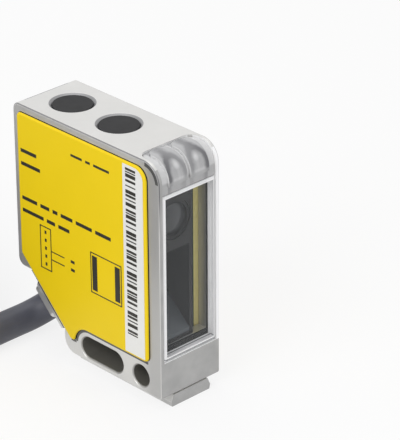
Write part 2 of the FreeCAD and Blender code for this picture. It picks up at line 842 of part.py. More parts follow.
def make_code_label():
    body = new_body("code_label")
    sketch = new_sketch(body, "label_outline", "YZ_Plane", -cover_face)
    near = recess_front + size("label_margin")
    far = near + size("label_width")
    low = recess_floor + size("label_foot")
    high = recess_top - size("label_head")
    draw_rectangle(sketch, near, far, low, high)
    pad(body, "label_sheet", sketch, size("label_thickness"), backwards=True)
    edges = edges_along(body.Shape, 0, [(near, high)])
    round_edges(body, "label_round", edges, size("label_corner"))
    return body


def make_print(label, ground_x, marks):
    """Flat marks on the left side, each given by its place along Y and Z."""
    x = (-ground_x - size("print_thickness"), -ground_x)
    pieces = [
        new_box(f"{label}_{index + 1}", x, (y[0], y[1]), (z[0], z[1]))
        for index, (y, z) in enumerate(marks)
    ]
    return group(label, pieces)


# Printed marks are placed in parts of the covers' depth and height.
print_depth = (recess_back - recess_front) / 37.0
print_height = (recess_top - recess_floor) / 41.5


def make_label_bars():
    """Plain bars of three widths, one above the other."""
    near = recess_front + size("label_margin") + size("label_width") * 0.35
    far = near + size("label_width") * 0.5
    marks = []
    level = 20
    for index in range(38):
        width = 1 + (index * index * 3 + index) % 3
        space = 1 + (index * 5 + index // 3) % 3
        low = recess_floor + print_height * (level * 0.24)
        marks.append(((near, far), (low, low + print_height * (width * 0.24))))
        level += width + space
    return make_print("label_bars", cover_face + size("label_thickness"), marks)


def make_cover_print():
    """Terminal diagram, rows of plain dashes and a plain framed field."""
    line = 0.22
    marks = []

    def add(right, low, across, high):
        y = recess_back - print_depth * right
        z = recess_floor + print_height * low
        marks.append(((y, y + print_depth * across), (z, z + print_height * high)))

    def frame(right, low, across, high):
        add(right, low, line, high)
        add(right - across + line, low, line, high)
        add(right - line, low, across - 2 * line, line)
        add(right - line, low + high - line, across - 2 * line, line)

    frame(9.5, 9.6, 3.3, 9.5)
    for index in range(5):
        add(8.1, 10.5 + 1.75 * index, 0.5, 0.7)
    for level in (12.3, 14.1):
        add(13.3, level, 3.8, line)
        add(16.3, level - 0.2, 1.1, 0.6)
    frame(29.9, 9.7, 8.9, 8.9)
    for side in (22.9, 29.4):
        add(side, 10.4, 1.4, 7.5)
    for low, start, lengths in (
        (33.2, 1.2, (4.6,)),
        (30.4, 1.2, (5.6,)),
        (22.9, 1.2, (4.4, 2.6, 1.4, 3.4, 4.6, 4.4)),
        (20.2, 1.2, (6.2, 2.4, 3.2)),
        (37.2, 16.0, (3.2, 1.3, 4.4)),
    ):
        height = 0.5 if start > 10 else 0.75
        for length in lengths:
            add(start + length, low, length, height)
            start += length + 1.0
    return make_print("cover_print", cover_face, marks)


# Optical face


def make_front_pane():
    body = new_body("front_pane")
    gap = size("pane_gap")
    half = window_half - gap
    sketch = new_sketch(body, "pane_outline", "XZ_Plane", -front)
    draw_rectangle(sketch, -half, half, window_floor + gap, window_joint - gap)
    pad(body, "pane_plate", sketch, size("pane_thickness"), backwards=True)

    def front_edge(edge):
        return all(abs(vertex.Y - front.number) < 1e-4 for vertex in edge.Vertexes)

    edges = edges_where(body.Shape, front_edge)
    bevel_edges(body, "pane_bevel", edges, size("pane_bevel"))
    return body


def make_pane_seal():
    gap = size("pane_gap")
    half = window_half - gap
    y = (front + size("pane_thickness") + 0.02, pocket_back)
    outer = new_box(
        "pane_seal_outer", (-half, half), y, (window_floor + gap, window_joint)
    )
    inner = new_box(
        "pane_seal_inner",
        (-opening_half, opening_half),
        (y[0] - 1, y[1] + 1),
        (opening_floor, opening_top),
    )
    return cut("pane_seal", outer, inner)


def draw_rib_profile(sketch, rear, depth):
    """A strip of even depth that follows the frame round its upper front corner."""
    turn = size("front_corner")
    floor = rib_floor
    middle = (front + turn, top - turn)
    centre = Vector(middle[0].number, middle[1].number, 0)
    corners = [
        (front, floor),
        (front, middle[1]),
        (middle[0], top),
        (rear, top),
        (rear, top - depth),
        (middle[0], top - depth),
        (front + depth, middle[1]),
        (front + depth, floor),
    ]
    points = [Vector(u.number, v.number, 0) for u, v in corners]
    quarter = math.pi / 2
    outer = Part.ArcOfCircle(
        Part.Circle(centre, Vector(0, 0, 1), turn.number), quarter, 2 * quarter
    )
    inner = Part.ArcOfCircle(
        Part.Circle(centre, Vector(0, 0, 1), (turn - depth).number), quarter, 2 * quarter
    )
    pieces = [
        Part.LineSegment(points[0], points[1]),
        outer,
        Part.LineSegment(points[2], points[3]),
        Part.LineSegment(points[3], points[4]),
        Part.LineSegment(points[4], points[5]),
        inner,
        Part.LineSegment(points[6], points[7]),
        Part.LineSegment(points[7], points[0]),
    ]
    for piece in pieces:
        sketch.addGeometry(piece)
    # The outer arc runs from the top to the front, so its ends meet the lines crosswise.
    for first, first_end, second, second_end in (
        (0, 2, 1, 2),
        (1, 1, 2, 1),
        (2, 2, 3, 1),
        (3, 2, 4, 1),
        (4, 2, 5, 1),
        (5, 2, 6, 1),
        (6, 2, 7, 1),
        (7, 2, 0, 1),
    ):
        sketch.addConstraint(Sketcher.Constraint("Coincident", first, first_end, second, second_end))
    pin(sketch, 0, 1, *corners[0])
    pin(sketch, 0, 2, *corners[1])
    pin(sketch, 1, 3, *middle)
    pin(sketch, 2, 1, middle[0], None)
    pin(sketch, 3, 1, *corners[3])
    pin(sketch, 4, 1, *corners[4])
    pin(sketch, 5, 3, *middle)
    pin(sketch, 5, 1, *corners[5])
    pin(sketch, 6, 1, None, middle[1])
    pin(sketch, 7, 1, *corners[7])


def make_indicator_window():
    """A clear skin that turns the upper front corner, with two ribs flush with the frame."""
    body = new_body("indicator_window")
    gap = size("pane_gap")
    skin_front = front + size("light_set_back")
    skin_top = top - size("light_set_back")
    wall = size("light_wall")
    rear = light_back - gap
    floor = window_joint + gap
    inner_front = skin_front + wall
    inner_top = skin_top - wall
    half = window_half - gap
    sketch = new_sketch(body, "skin_profile", "YZ_Plane")
    draw_polygon(
        sketch,
        [
            (skin_front, floor),
            (skin_front, skin_top),
            (rear, skin_top),
            (rear, inner_top),
            (inner_front, inner_top),
            (inner_front, floor),
        ],
    )
    pad(body, "skin", sketch, half * 2, both_ways=True)
    outer_radius = size("front_corner") - size("light_set_back")
    corner = edges_along(body.Shape, 0, [(skin_front, skin_top)])
    round_edges(body, "outer_turn", corner, outer_radius)
    corner = edges_along(body.Shape, 0, [(inner_front, inner_top)])
    round_edges(body, "inner_turn", corner, outer_radius - wall)
    corners = edges_along(body.Shape, 2, [(-half, rear), (half, rear)])
    round_edges(body, "rear_corners", corners, light_corner - gap)

    rib = new_sketch(body, "rib_profile", "YZ_Plane", size("rib_space") / 2)
    draw_rib_profile(rib, rib_rear, size("light_set_back") + wall / 2)
    right_rib = pad(body, "right_rib", rib, rib_width)
    mirror(body, "left_rib", right_rib)
    near = size("rib_space") / 2
    far = near + rib_width
    ends = [(side, rib_rear) for side in (near, far, -near, -far)]
    corners = edges_along(body.Shape, 2, ends)
    flat = rib_rear - front - size("front_corner")
    round_edges(body, "rib_ends", corners, flat * 0.8)
    return body


def make_light_box():
    """White diffuser under the light window, with one trough under each rib."""
    body = new_body("light_box")
    gap = size("inner_gap")
    half = light_opening_half - gap
    low = light_opening_floor + gap
    turn = size("front_corner") - size("light_set_back") - size("light_wall") - gap
    box_front = front + size("front_corner") - turn
    box_top = top - size("front_corner") + turn
    box_rear = light_opening_back - gap
    outline = new_sketch(body, "light_box_profile", "YZ_Plane")
    draw_rectangle(outline, box_front, box_rear, low, box_top)
    pad(body, "light_box_block", outline, half * 2, both_ways=True)
    corner = edges_along(body.Shape, 0, [(box_front, box_top)])
    round_edges(body, "light_box_turn", corner, turn)
    centre = rib_middle
    troughs = new_sketch(body, "trough_outlines", "XZ_Plane", -box_front)
    draw_circle(troughs, -centre, box_top, rib_width * 0.38)
    draw_circle(troughs, centre, box_top, rib_width * 0.38)
    pocket(body, "troughs", troughs, box_rear - box_front - size("carrier_wall"))
    return body


def make_light_guides():
    gap = size("inner_gap")
    centre = rib_middle
    half = size("guide_width") / 2
    y = (light_opening_back, optics_board_front - size("led_depth") * 1.25)
    z = (guide_floor, guide_floor + size("guide_height"))
    bars = []
    for name, side in (("left", -centre), ("right", centre)):
        bars.append(new_box(f"light_guide_{name}", (side - half, side + half), y, z))
    bridge = new_box(
        "light_guide_bridge", (-centre, centre), (y[1] - 3, y[1] - 1.4), (z[0], z[0] + gap * 5)
    )
    return fuse("light_guides", bars + [bridge])


def make_indicator_leds():
    centre = rib_middle
    middle = guide_floor + size("guide_height") / 2
    y = (optics_board_front - size("led_depth"), optics_board_front)
    half = size("led_width") / 2
    rise = size("led_height") / 2
    lamps = []
    for name, side in (("left", -centre), ("right", centre)):
        lamps.append(
            new_box(
                f"indicator_led_{name}",
                (side - half, side + half),
                y,
                (middle - rise, middle + rise),
            )
        )
    return group("indicator_leds", lamps)


# Optics

carrier_left = size("inner_gap") - opening_half
carrier_right = board_left - size("carrier_to_board")
carrier_middle = (carrier_left + carrier_right) / 2
carrier_front = front + size("carrier_front")
carrier_back = optics_board_front - size("inner_gap")
carrier_floor = opening_floor + size("inner_gap")
carrier_top = opening_top - size("inner_gap")
seat_depth = size("lens_sink") + size("retainer_thickness") + size("lens_edge")
lens_seat = carrier_front + seat_depth
lens_level = opening_top - size("lens_drop")
lens_radius = (carrier_right - carrier_left) / 2 - size("lens_side")
lens_dome = lens_radius - size("lens_margin")
chamber_top = opening_top - size("chamber_drop")


def make_optics_carrier():
    body = new_body("optics_carrier")
    outline = new_sketch(body, "carrier_outline", "XZ_Plane", -carrier_front)
    draw_rectangle(outline, carrier_left, carrier_right, carrier_floor, carrier_top)
    pad(body, "carrier_block", outline, carrier_back - carrier_front, backwards=True)
    wall = size("carrier_wall")
    chamber = new_sketch(body, "chamber_outline", "XZ_Plane", -carrier_front)
    draw_rectangle(
        chamber,
        carrier_left + wall,
        carrier_right - wall,
        carrier_floor + wall,
        chamber_top,
    )
    pocket(body, "lower_chamber", chamber, size("chamber_depth"))
    seat = new_sketch(body, "lens_seat_outline", "XZ_Plane", -carrier_front)
    draw_circle(seat, carrier_middle, lens_level, lens_radius + 0.05)
    pocket(body, "lens_seat", seat, seat_depth)
    bore = new_sketch(body, "lens_bore_outline", "XZ_Plane", -carrier_front)
    draw_circle(bore, carrier_middle, lens_level, lens_dome)
    pocket(body, "lens_bore", bore, carrier_back - carrier_front + 1)
    return body


def make_emitter_lens():
    """A flat rim that sits in the carrier, and a dome in front of it."""
    rim = new_cylinder(
        "lens_rim",
        (carrier_middle, lens_seat, lens_level),
        lens_radius,
        size("lens_edge"),
        ALONG_MINUS_Y,
    )
    curve = size("lens_curve")
    dome = lens_dome
    depth = (curve * curve - dome * dome).root()
    ball = doc.addObject("Part::Sphere", "lens_ball")
    tie(ball, "Radius", curve)
    place(ball, carrier_middle, lens_seat - size("lens_edge") + depth, lens_level)
    post = new_cylinder(
        "lens_post",
        (carrier_middle, lens_seat - size("lens_edge") / 2, lens_level),
        dome,
        curve,
        ALONG_MINUS_Y,
    )
    return fuse("emitter_lens", [rim, common("lens_cap", [ball, post])])


def make_lens_retainer():
    start = lens_seat - size("lens_edge")
    centre = (carrier_middle, start, lens_level)
    outer = new_cylinder(
        "retainer_outer", centre, lens_radius, size("retainer_thickness"), ALONG_MINUS_Y
    )
    inner = new_cylinder(
        "retainer_inner",
        (carrier_middle, start + 1, lens_level),
        lens_dome + 0.05,
        size("retainer_thickness") + 2,
        ALONG_MINUS_Y,
    )
    return cut("lens_retainer", outer, inner)


def make_lower_baffle():
    """A ramp on the floor of the carrier's chamber, rising to the back."""
    body = new_body("lower_baffle")
    wall = size("carrier_wall")
    gap = size("inner_gap") / 3
    left = carrier_left + wall + gap
    right = carrier_right - wall - gap
    floor = carrier_floor + wall
    start = carrier_front + gap
    end = carrier_front + size("chamber_depth") - gap
    crest = floor + size("baffle_lip") + size("baffle_rise")
    sketch = new_sketch(body, "baffle_profile", "YZ_Plane", left)
    draw_polygon(
        sketch,
        [
            (start, floor),
            (end, floor),
            (end, crest),
            (end - size("baffle_crest"), crest),
            (start, floor + size("baffle_lip")),
        ],
    )
    pad(body, "baffle_ramp", sketch, right - left)
    return body


def make_emitter_led():
    radius = lens_dome - size("lamp_clearance")
    tail = optics_board_front
    flange = new_cylinder(
        "lamp_flange",
        (carrier_middle, tail, lens_level),
        radius + size("lamp_flange"),
        size("lamp_flange_height"),
        ALONG_MINUS_Y,
    )
    body = new_cylinder(
        "lamp_body",
        (carrier_middle, tail, lens_level),
        radius,
        size("lamp_length"),
        ALONG_MINUS_Y,
    )
    dome = doc.addObject("Part::Sphere", "lamp_dome")
    tie(dome, "Radius", radius)
    place(dome, carrier_middle, tail - size("lamp_length"), lens_level)
    return fuse("emitter_led", [flange, body, dome])


# Boards


def make_main_board():
    body = new_body("main_board")
    sketch = new_sketch(body, "main_board_outline", "YZ_Plane", board_left)
    fittings = size("bush_length") + size("clamp_gap") + size("clamp_length")
    corners = cavity_outline(size("inner_gap"), fittings)
    corners[3] = (corners[3][0], board_top)
    corners[4] = (corners[4][0], board_top)
    draw_polygon(sketch, corners)
    pad(body, "main_board_sheet", sketch, size("board_thickness"))
    return body


def make_optics_board():
    left = -inside_x + size("inner_gap")
    return new_box(
        "optics_board",
        (left, board_left - size("inner_gap")),
        (optics_board_front, optics_board_back),
        (optics_board_floor, optics_board_top),
    )


def make_board_header():
    deep = size("header_depth")
    low = optics_board_floor + size("header_rise")
    across = (optics_board_back, optics_board_back + deep)
    block = new_box(
        "header_block", (board_left - deep, board_left), across, (low, low + size("header_height"))
    )
    pins = []
    half = size("pin_width") / 2
    middle = optics_board_back + deep / 2
    for index in range(4):
        level = low + size("header_height") * ((index + 0.5) / 4)
        pins.append(
            new_box(
                f"header_pin_{index + 1}",
                (board_left - deep * 2, board_left - deep * 0.9),
                (middle - half, middle + half),
                (level - half, level + half),
            )
        )
    return fuse("board_header", [block] + pins)


# Behind the optics board, the parts on the main board share the depth between them.
inner_depth = cavity_back - optics_board_back
chip_front = optics_board_back + inner_depth * 0.22
chip_side = inner_depth * 0.31
chip_high = board_top - size("chip_drop")
chip_low = chip_high - size("chip_height")
second_high = chip_low - size("chip_gap")
second_low = second_high - size("second_chip_height")


def make_control_chips():
    second_side = inner_depth * 0.22
    third_front = chip_front + inner_depth * 0.34
    chips = []
    for index, (y, z) in enumerate(
        (
            ((chip_front, chip_front + chip_side), (chip_low, chip_high)),
            ((chip_front, chip_front + second_side), (second_low, second_high)),
            ((third_front, third_front + second_side), (second_low, second_high)),
        )
    ):
        x = (board_left - size("chip_thickness"), board_left)
        chips.append(new_box(f"chip_{index + 1}", x, y, z))
    return group("control_chips", chips)


def make_filter_capacitors():
    radius = inner_depth * 0.11
    place_y = chip_front + chip_side + radius * 1.8
    cans = []
    for index in range(2):
        level = board_top - size("can_drop") - size("can_spacing") * index
        cans.append(
            new_cylinder(
                f"capacitor_{index + 1}",
                (board_left, place_y, level),
                radius,
                size("can_height"),
                ALONG_MINUS_X,
            )
        )
    return group("filter_capacitors", cans)


# Top plugs


def make_plug(label, place_y):
    head_top = top - size("plug_sink")
    head_floor = head_top - size("plug_head")
    head = new_cylinder(
        label + "_head", (0, place_y, head_floor), size("plug_radius"), size("plug_head")
    )
    neck = new_cylinder(
        label + "_neck",
        (0, place_y, head_floor - size("plug_neck")),
        size("plug_neck_radius"),
        size("plug_neck") + size("plug_head") / 2,
    )
    return fuse(label, [head, neck])


def make_plug_ring(label, place_y):
    ring = doc.addObject("Part::Torus", label)
    ring.Label = label
    thick = size("ring_thickness") / 2
    tie(ring, "Radius2", thick)
    tie(ring, "Radius1", size("plug_neck_radius") + thick)
    level = top - size("plug_sink") - size("plug_head") - thick
    place(ring, 0, place_y, level)
    return ring


# Cable entry

wall_depth = size("collar_reach") + (cavity_slope - slope_base) / ROOT_TWO


def ring_on_cable(label, depth, length, wall):
    y, z = on_cable_axis(depth)
    radius = size("cable_radius") + wall
    outer = new_cylinder(label + "_outer", (0, y, z), radius, length, INTO_HOUSING)
    y, z = on_cable_axis(as_size(depth) - 1)
    inner = new_cylinder(
        label + "_inner",
        (0, y, z),
        size("cable_radius") + size("cable_gap") / 2,
        as_size(length) + 2,
        INTO_HOUSING,
    )
    return cut(label, outer, inner)


def make_cable_inner_end():
    return new_cylinder(
        "cable_inner_end",
        (0, exit_y, exit_z),
        size("cable_radius"),
        wall_depth + size("sheath_length"),
        INTO_HOUSING,
    )


def make_inner_leads():
    """Four cores from the end of the sheath to the main board."""
    core = size("core_radius").number
    depth = (wall_depth + size("sheath_length")).number + core * 0.85
    start_y = exit_y.number - depth / math.sqrt(2)
    start_z = exit_z.number + depth / math.sqrt(2)
    across = Vector(1, 0, 0)
    beside = Vector(0, 1, 1).normalize()
    cores = []
    for index in range(4):
        angle = math.radians(45 + 90 * index)
        start = Vector(0, start_y, start_z)
        spread = core * 2.35
        start = start + across * (spread * math.cos(angle)) + beside * (spread * math.sin(angle))
        end = Vector(board_left.number - core * 1.3, start_y - 2.2 - 1.5 * index, start_z + 1.2)
        run = end - start
        cores.append(Part.makeCylinder(core, run.Length, start, run))
    leads = doc.addObject("Part::Feature", "inner_leads")
    leads.Label = "inner_leads"
    leads.Shape = Part.makeCompound(cores)
    return leads


# Free cable

# The cable lies on the same surface as the foot.
lying_level = size("cable_radius").number + 0.1
exit_place = Vector(0, exit_y.number, exit_z.number)
drop = exit_place.z - lying_level
exit_way = Vector(0, 1, -1).normalize()

# Points of the route on the cable's centre line, from the exit to the coil.
CABLE_ROUTE = [
    exit_place,
    exit_place + exit_way * 2.7,
    Vector(-1.03, exit_place.y + 3.67, lying_level + 0.37 * drop),
    Vector(-2.94, exit_place.y + 5.02, lying_level + 0.135 * drop),
    Vector(-5.44, exit_place.y + 5.75, lying_level + 0.01 * drop),
    Vector(-9.4, exit_place.y + 5.93, lying_level),
    Vector(-12.6, exit_place.y + 5.93, lying_level),
]
TURNS_WIDE = 3
TURNS_HIGH = 3
COIL_MEAN_RADIUS = 10.0 * size("cable_radius").number
COIL_OUTER_TURN = COIL_MEAN_RADIUS + (TURNS_WIDE - 1) * size("cable_radius").number
COIL_CENTRE = Vector(-35.6, CABLE_ROUTE[-1].y + COIL_OUTER_TURN, 0.0)
# The last turn lies alone on top, and ends at this angle round the coil.
LAST_TURN_SPAN = 312.0
LAST_TURN_END = -60.0
TIE_THICKNESS = 0.6
TIE_WIDTH = 4.0
CORE_RADIUS = 0.65
CORE_LENGTH = 22.0
CORE_LEAN = 12.0


def route_pieces(points):
    """Straight runs and the tangent arcs between them, with each arc's radius."""
    pieces = []
    radii = []
    here = points[0]
    for before, corner, after in zip(points, points[1:], points[2:]):
        run_in = corner - before
        run_out = after - corner
        shorter = min(run_in.Length, run_out.Length)
        half_turn = run_in.getAngle(run_out) / 2
        trim = 0.45 * shorter
        radii.append(trim / math.tan(half_turn))
        way_in = Vector(run_in).normalize()
        way_out = Vector(run_out).normalize()
        arc_start = corner - way_in * trim
        arc_end = corner + way_out * trim
        middle_way = (way_out - way_in).normalize()
        depth = radii[-1] * (1 / math.cos(half_turn) - 1)
        pieces.append(Part.LineSegment(here, arc_start).toShape())
        pieces.append(Part.Arc(arc_start, corner + middle_way * depth, arc_end).toShape())
        here = arc_end
    pieces.append(Part.LineSegment(here, points[-1]).toShape())
    return pieces, radii


def make_sensor_cable():
    pieces, radii = route_pieces(CABLE_ROUTE)
    path = Part.Wire(pieces)
    radius = size("cable_radius").number
    ring = Part.Wire(Part.makeCircle(radius, CABLE_ROUTE[0], exit_way))
    tube = path.makePipe(Part.Face(ring))
    expected = math.pi * radius**2 * path.Length
    print("cable radii:", [round(value, 1) for value in radii])
    print("cable length:", round(path.Length, 2), "volume ratio:", round(tube.Volume / expected, 5))
    cable = doc.addObject("Part::Feature", "sensor_cable")
    cable.Label = "sensor_cable"
    cable.Shape = tube
    return cable


def coil_section():
    """Rounded section through all turns of the coil."""
    thick = size("cable_radius").number * 2
    half = thick * TURNS_WIDE / 2
    low = 0.1
    high = low + thick * TURNS_HIGH
    inner = COIL_CENTRE.x + COIL_MEAN_RADIUS - half
    outer = COIL_CENTRE.x + COIL_MEAN_RADIUS + half
    block = Part.makePolygon(
        [
            Vector(inner, COIL_CENTRE.y, low),
            Vector(outer, COIL_CENTRE.y, low),
            Vector(outer, COIL_CENTRE.y, high),
            Vector(inner, COIL_CENTRE.y, high),
            Vector(inner, COIL_CENTRE.y, low),
        ]
    )
    return Part.Face(block), half, low, high


def core_frame(top_level):
    """Where the stripped end starts, and which way it points."""
    end = math.radians(LAST_TURN_END)
    lean = math.radians(LAST_TURN_END - CORE_LEAN)
    out = Vector(math.cos(end), math.sin(end), 0)
    start = COIL_CENTRE + out * COIL_MEAN_RADIUS + Vector(0, 0, top_level)
    way = Vector(math.sin(lean), -math.cos(lean), 0)
    return start, way


def make_last_turn(low, high):
    """The single turn on top of the others, open where the stripped end lies."""
    radius = size("cable_radius").number
    inner = COIL_CENTRE.x + COIL_MEAN_RADIUS - radius
    outer = COIL_CENTRE.x + COIL_MEAN_RADIUS + radius
    corners = [
        Vector(inner, COIL_CENTRE.y, low),
        Vector(outer, COIL_CENTRE.y, low),
        Vector(outer, COIL_CENTRE.y, high),
        Vector(inner, COIL_CENTRE.y, high),
        Vector(inner, COIL_CENTRE.y, low),
    ]
    section = Part.Face(Part.makePolygon(corners))
    section.rotate(COIL_CENTRE, Vector(0, 0, 1), LAST_TURN_END)
    turn = section.revolve(COIL_CENTRE, Vector(0, 0, 1), LAST_TURN_SPAN)
    crest = []
    for edge in turn.Edges:
        if edge.BoundBox.ZMin > high - 0.01 and edge.Length > 10 * radius:
            crest.append(edge)
    return turn.makeFillet(0.9 * radius, crest)


def tie_outline(half, high, top, gap):
    """Inside of the band, which is pulled over the single turn on top."""
    radius = size("cable_radius").number
    across = [
        (COIL_MEAN_RADIUS - half - gap, TIE_THICKNESS),
        (COIL_MEAN_RADIUS - half - gap, high - 1),
        (COIL_MEAN_RADIUS - radius - gap, top + gap),
        (COIL_MEAN_RADIUS + radius + gap, top + gap),
        (COIL_MEAN_RADIUS + half + gap, high - 1),
        (COIL_MEAN_RADIUS + half + gap, TIE_THICKNESS),
    ]
    points = []
    for reach, level in across + across[:1]:
        points.append(COIL_CENTRE + Vector(-TIE_WIDTH / 2, reach, level))
    return Part.makePolygon(points)


def make_coil_pieces():
    section, half, low, high = coil_section()
    ring = section.revolve(COIL_CENTRE, Vector(0, 0, 1), 360)
    ring = ring.makeFillet(0.9 * size("cable_radius").number, ring.Edges)
    radius = size("cable_radius").number
    entry = CABLE_ROUTE[-1]
    lead_in = Part.makeCylinder(radius, entry.x - COIL_CENTRE.x, entry, Vector(-1, 0, 0))
    top = high + radius * 2
    solid = ring.fuse(lead_in).fuse(make_last_turn(high - 1, top))
    groove = Part.makeBox(
        TIE_WIDTH + 0.2,
        half * 2 + 2,
        TIE_THICKNESS + 0.1,
        COIL_CENTRE + Vector(-TIE_WIDTH / 2 - 0.1, COIL_MEAN_RADIUS - half - 1, 0),
    )
    solid = solid.cut(groove)
    coil = doc.addObject("Part::Feature", "cable_coil")
    coil.Label = "cable_coil"
    coil.Shape = solid.removeSplitter()

    inside = tie_outline(half, high, top, 0.15)
    outside = inside.makeOffset2D(TIE_THICKNESS)
    width = Vector(TIE_WIDTH, 0, 0)
    band = doc.addObject("Part::Feature", "coil_tie")
    band.Label = "coil_tie"
    band.Shape = Part.Face(outside).extrude(width).cut(Part.Face(inside).extrude(width))

    start, way = core_frame(high)
    side = Vector(-way.y, way.x, 0)
    cores = []
    for index in range(4):
        offset = (index - 1.5) * 1.45
        foot = start + side * offset + way * 0.9 + Vector(0, 0, CORE_RADIUS + 0.05)
        spread = way + side * (0.01 * (index - 1.5))
        cores.append(Part.makeCylinder(CORE_RADIUS, CORE_LENGTH, foot, spread))
    leads = doc.addObject("Part::Feature", "bare_leads")
    leads.Label = "bare_leads"
    leads.Shape = Part.makeCompound(cores)
    return [coil, band, leads]


nodes = [
    make_housing_frame(),
    make_side_cover("left_cover", False),
    make_side_cover("right_cover", True),
    make_cover_seal("left_cover_seal", False),
    make_cover_seal("right_cover_seal", True),
    make_code_label(),
    make_label_bars(),
    make_cover_print(),
    make_front_pane(),
    make_pane_seal(),
    make_indicator_window(),
    make_light_box(),
    make_light_guides(),
    make_indicator_leds(),
    make_optics_carrier(),
    make_emitter_lens(),
    make_lens_retainer(),
    make_lower_baffle(),
    make_emitter_led(),
    make_optics_board(),
    make_main_board(),
    make_board_header(),
    make_control_chips(),
    make_filter_capacitors(),
    make_plug("front_plug", front_plug_y),
    make_plug("rear_plug", rear_plug_y),
    make_plug_ring("front_plug_ring", front_plug_y),
    make_plug_ring("rear_plug_ring", rear_plug_y),
    ring_on_cable("cable_seal", wall_depth, size("bush_length"), size("bush_wall")),
    ring_on_cable(
        "cable_clamp",
        wall_depth + size("bush_length") + size("clamp_gap"),
        size("clamp_length"),
        size("clamp_wall"),
    ),
    make_cable_inner_end(),
    make_inner_leads(),
    make_sensor_cable(),
]
nodes += make_coil_pieces()
doc.recompute()

for thing in doc.Objects:
    if "Invalid" in thing.State or "Error" in thing.State:
        raise RuntimeError(f"{thing.Label} failed: {thing.State}")
os.makedirs("parts", exist_ok=True)
for node in nodes:
    shape = node.Shape
    if shape.isNull() or not shape.isValid():
        raise RuntimeError(f"{node.Label} has no valid shape")
    shape.exportStep(f"parts/{node.Label}.step")
    print(f"{node.Label}: {len(shape.Solids)} solid(s), {shape.Volume:.1f} mm3")
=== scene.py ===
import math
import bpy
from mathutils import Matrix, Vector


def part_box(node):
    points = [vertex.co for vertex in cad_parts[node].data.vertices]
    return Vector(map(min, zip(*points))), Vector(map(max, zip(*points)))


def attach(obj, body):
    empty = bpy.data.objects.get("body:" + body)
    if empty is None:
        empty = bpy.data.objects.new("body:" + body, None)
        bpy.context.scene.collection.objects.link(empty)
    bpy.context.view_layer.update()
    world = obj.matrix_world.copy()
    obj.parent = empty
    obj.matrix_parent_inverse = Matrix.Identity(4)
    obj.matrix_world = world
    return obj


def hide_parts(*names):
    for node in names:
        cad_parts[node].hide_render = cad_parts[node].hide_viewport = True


bl_info = {
    "name": "Through-beam sensor",
    "version": (1, 0, 0),
    "blender": (4, 5, 0),
    "location": "View3D > Sidebar > Sensor",
    "description": "Dresses the packed model of a through-beam block sensor",
    "category": "Object",
}

import bmesh
import bpy
from mathutils import Matrix, Vector

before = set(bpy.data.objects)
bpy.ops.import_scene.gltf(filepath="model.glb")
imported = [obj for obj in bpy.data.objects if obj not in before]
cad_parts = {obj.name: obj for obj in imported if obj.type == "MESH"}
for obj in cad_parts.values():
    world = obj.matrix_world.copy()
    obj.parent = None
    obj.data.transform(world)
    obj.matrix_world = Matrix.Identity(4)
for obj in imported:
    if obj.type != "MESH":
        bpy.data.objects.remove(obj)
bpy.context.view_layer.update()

MM = 0.001
ROOT = "root"
WHITE = (1.0, 1.0, 1.0)


# Sizes and colours that a user would change


def length(name, description, default):
    return bpy.props.FloatProperty(
        name=name, description=description, default=default, subtype="DISTANCE", unit="LENGTH"
    )


def colour(name, description, default):
    return bpy.props.FloatVectorProperty(
        name=name, description=description, default=default, subtype="COLOR", size=3, min=0, max=1
    )


class SensorSizes(bpy.types.PropertyGroup):
    cable_diameter: length("Cable diameter", "Outside of the cable's sheath", 6.2 * MM)
    cable_length: length("Cable length", "From the collar to the stripped end", 2.0)
    coil_turn: length("Coil radius", "Mean radius of the coil's turns", 31.0 * MM)
    strap: length("Strap", "Thickness of the strap round the coil", 0.6 * MM)
    slope_rim: length("Slope rim", "Height of the rims beside the rear slope", 1.15 * MM)
    grain: length("Grain", "Size of the fine grain on moulded parts", 0.35 * MM)


class SensorColours(bpy.types.PropertyGroup):
    casting: colour("Casting", "Plated die casting", (0.68, 0.675, 0.66))
    cover: colour("Covers", "Moulded side covers", (0.86, 0.62, 0.004))
    label: colour("Label", "Sticker on the left cover", (0.8, 0.8, 0.785))
    ink: colour("Ink", "Printed marks", (0.022, 0.02, 0.014))
    plug: colour("Plugs", "Plugs in the top face", (0.008, 0.008, 0.009))
    sheath: colour("Cable sheath", "Cable outside", (0.085, 0.088, 0.11))
    carrier: colour("Carrier", "Black moulding behind the pane", (0.017, 0.017, 0.018))
    baffle: colour("Baffle", "Ramp at the foot of the window", (0.085, 0.1, 0.115))
    board: colour("Boards", "Solder resist on the boards", (0.05, 0.12, 0.05))
    laminate: colour("Board edge", "Cut edge of the main board", (0.93, 0.78, 0.26))
    floor: colour("Floor", "Pale ground", (0.9, 0.9, 0.9))


def sizes():
    return bpy.context.scene.sensor_sizes


def colours():
    return bpy.context.scene.sensor_colours


# Shader maths


class Wire:
    """One value in a material; arithmetic on it adds Math nodes."""

    def __init__(self, recipe, socket):
        self.recipe = recipe
        self.socket = socket

    def math(self, operation, first, second):
        settings = {"operation": operation}
        return self.recipe.add("ShaderNodeMath", settings, {0: first, 1: second})

    def __add__(self, other):
        return self.math("ADD", self, other)

    def __radd__(self, other):
        return self.math("ADD", other, self)

    def __sub__(self, other):
        return self.math("SUBTRACT", self, other)

    def __rsub__(self, other):
        return self.math("SUBTRACT", other, self)

    def __mul__(self, other):
        return self.math("MULTIPLY", self, other)

    def __rmul__(self, other):
        return self.math("MULTIPLY", other, self)

    def __gt__(self, other):
        return self.math("GREATER_THAN", self, other)

    def __lt__(self, other):
        return self.math("LESS_THAN", self, other)

    def __abs__(self):
        return self.math("ABSOLUTE", self, 0.0)

    def at_least(self, other):
        return self.math("MAXIMUM", self, other)

    def at_most(self, other):
        return self.math("MINIMUM", self, other)

    def between(self, low, high):
        """1 where the value lies between those two, and 0 elsewhere."""
        return (self > low) * (self < high)

    def clamped(self, top=1.0):
        return self.at_least(0.0).at_most(top)

    def squared(self):
        return self * self


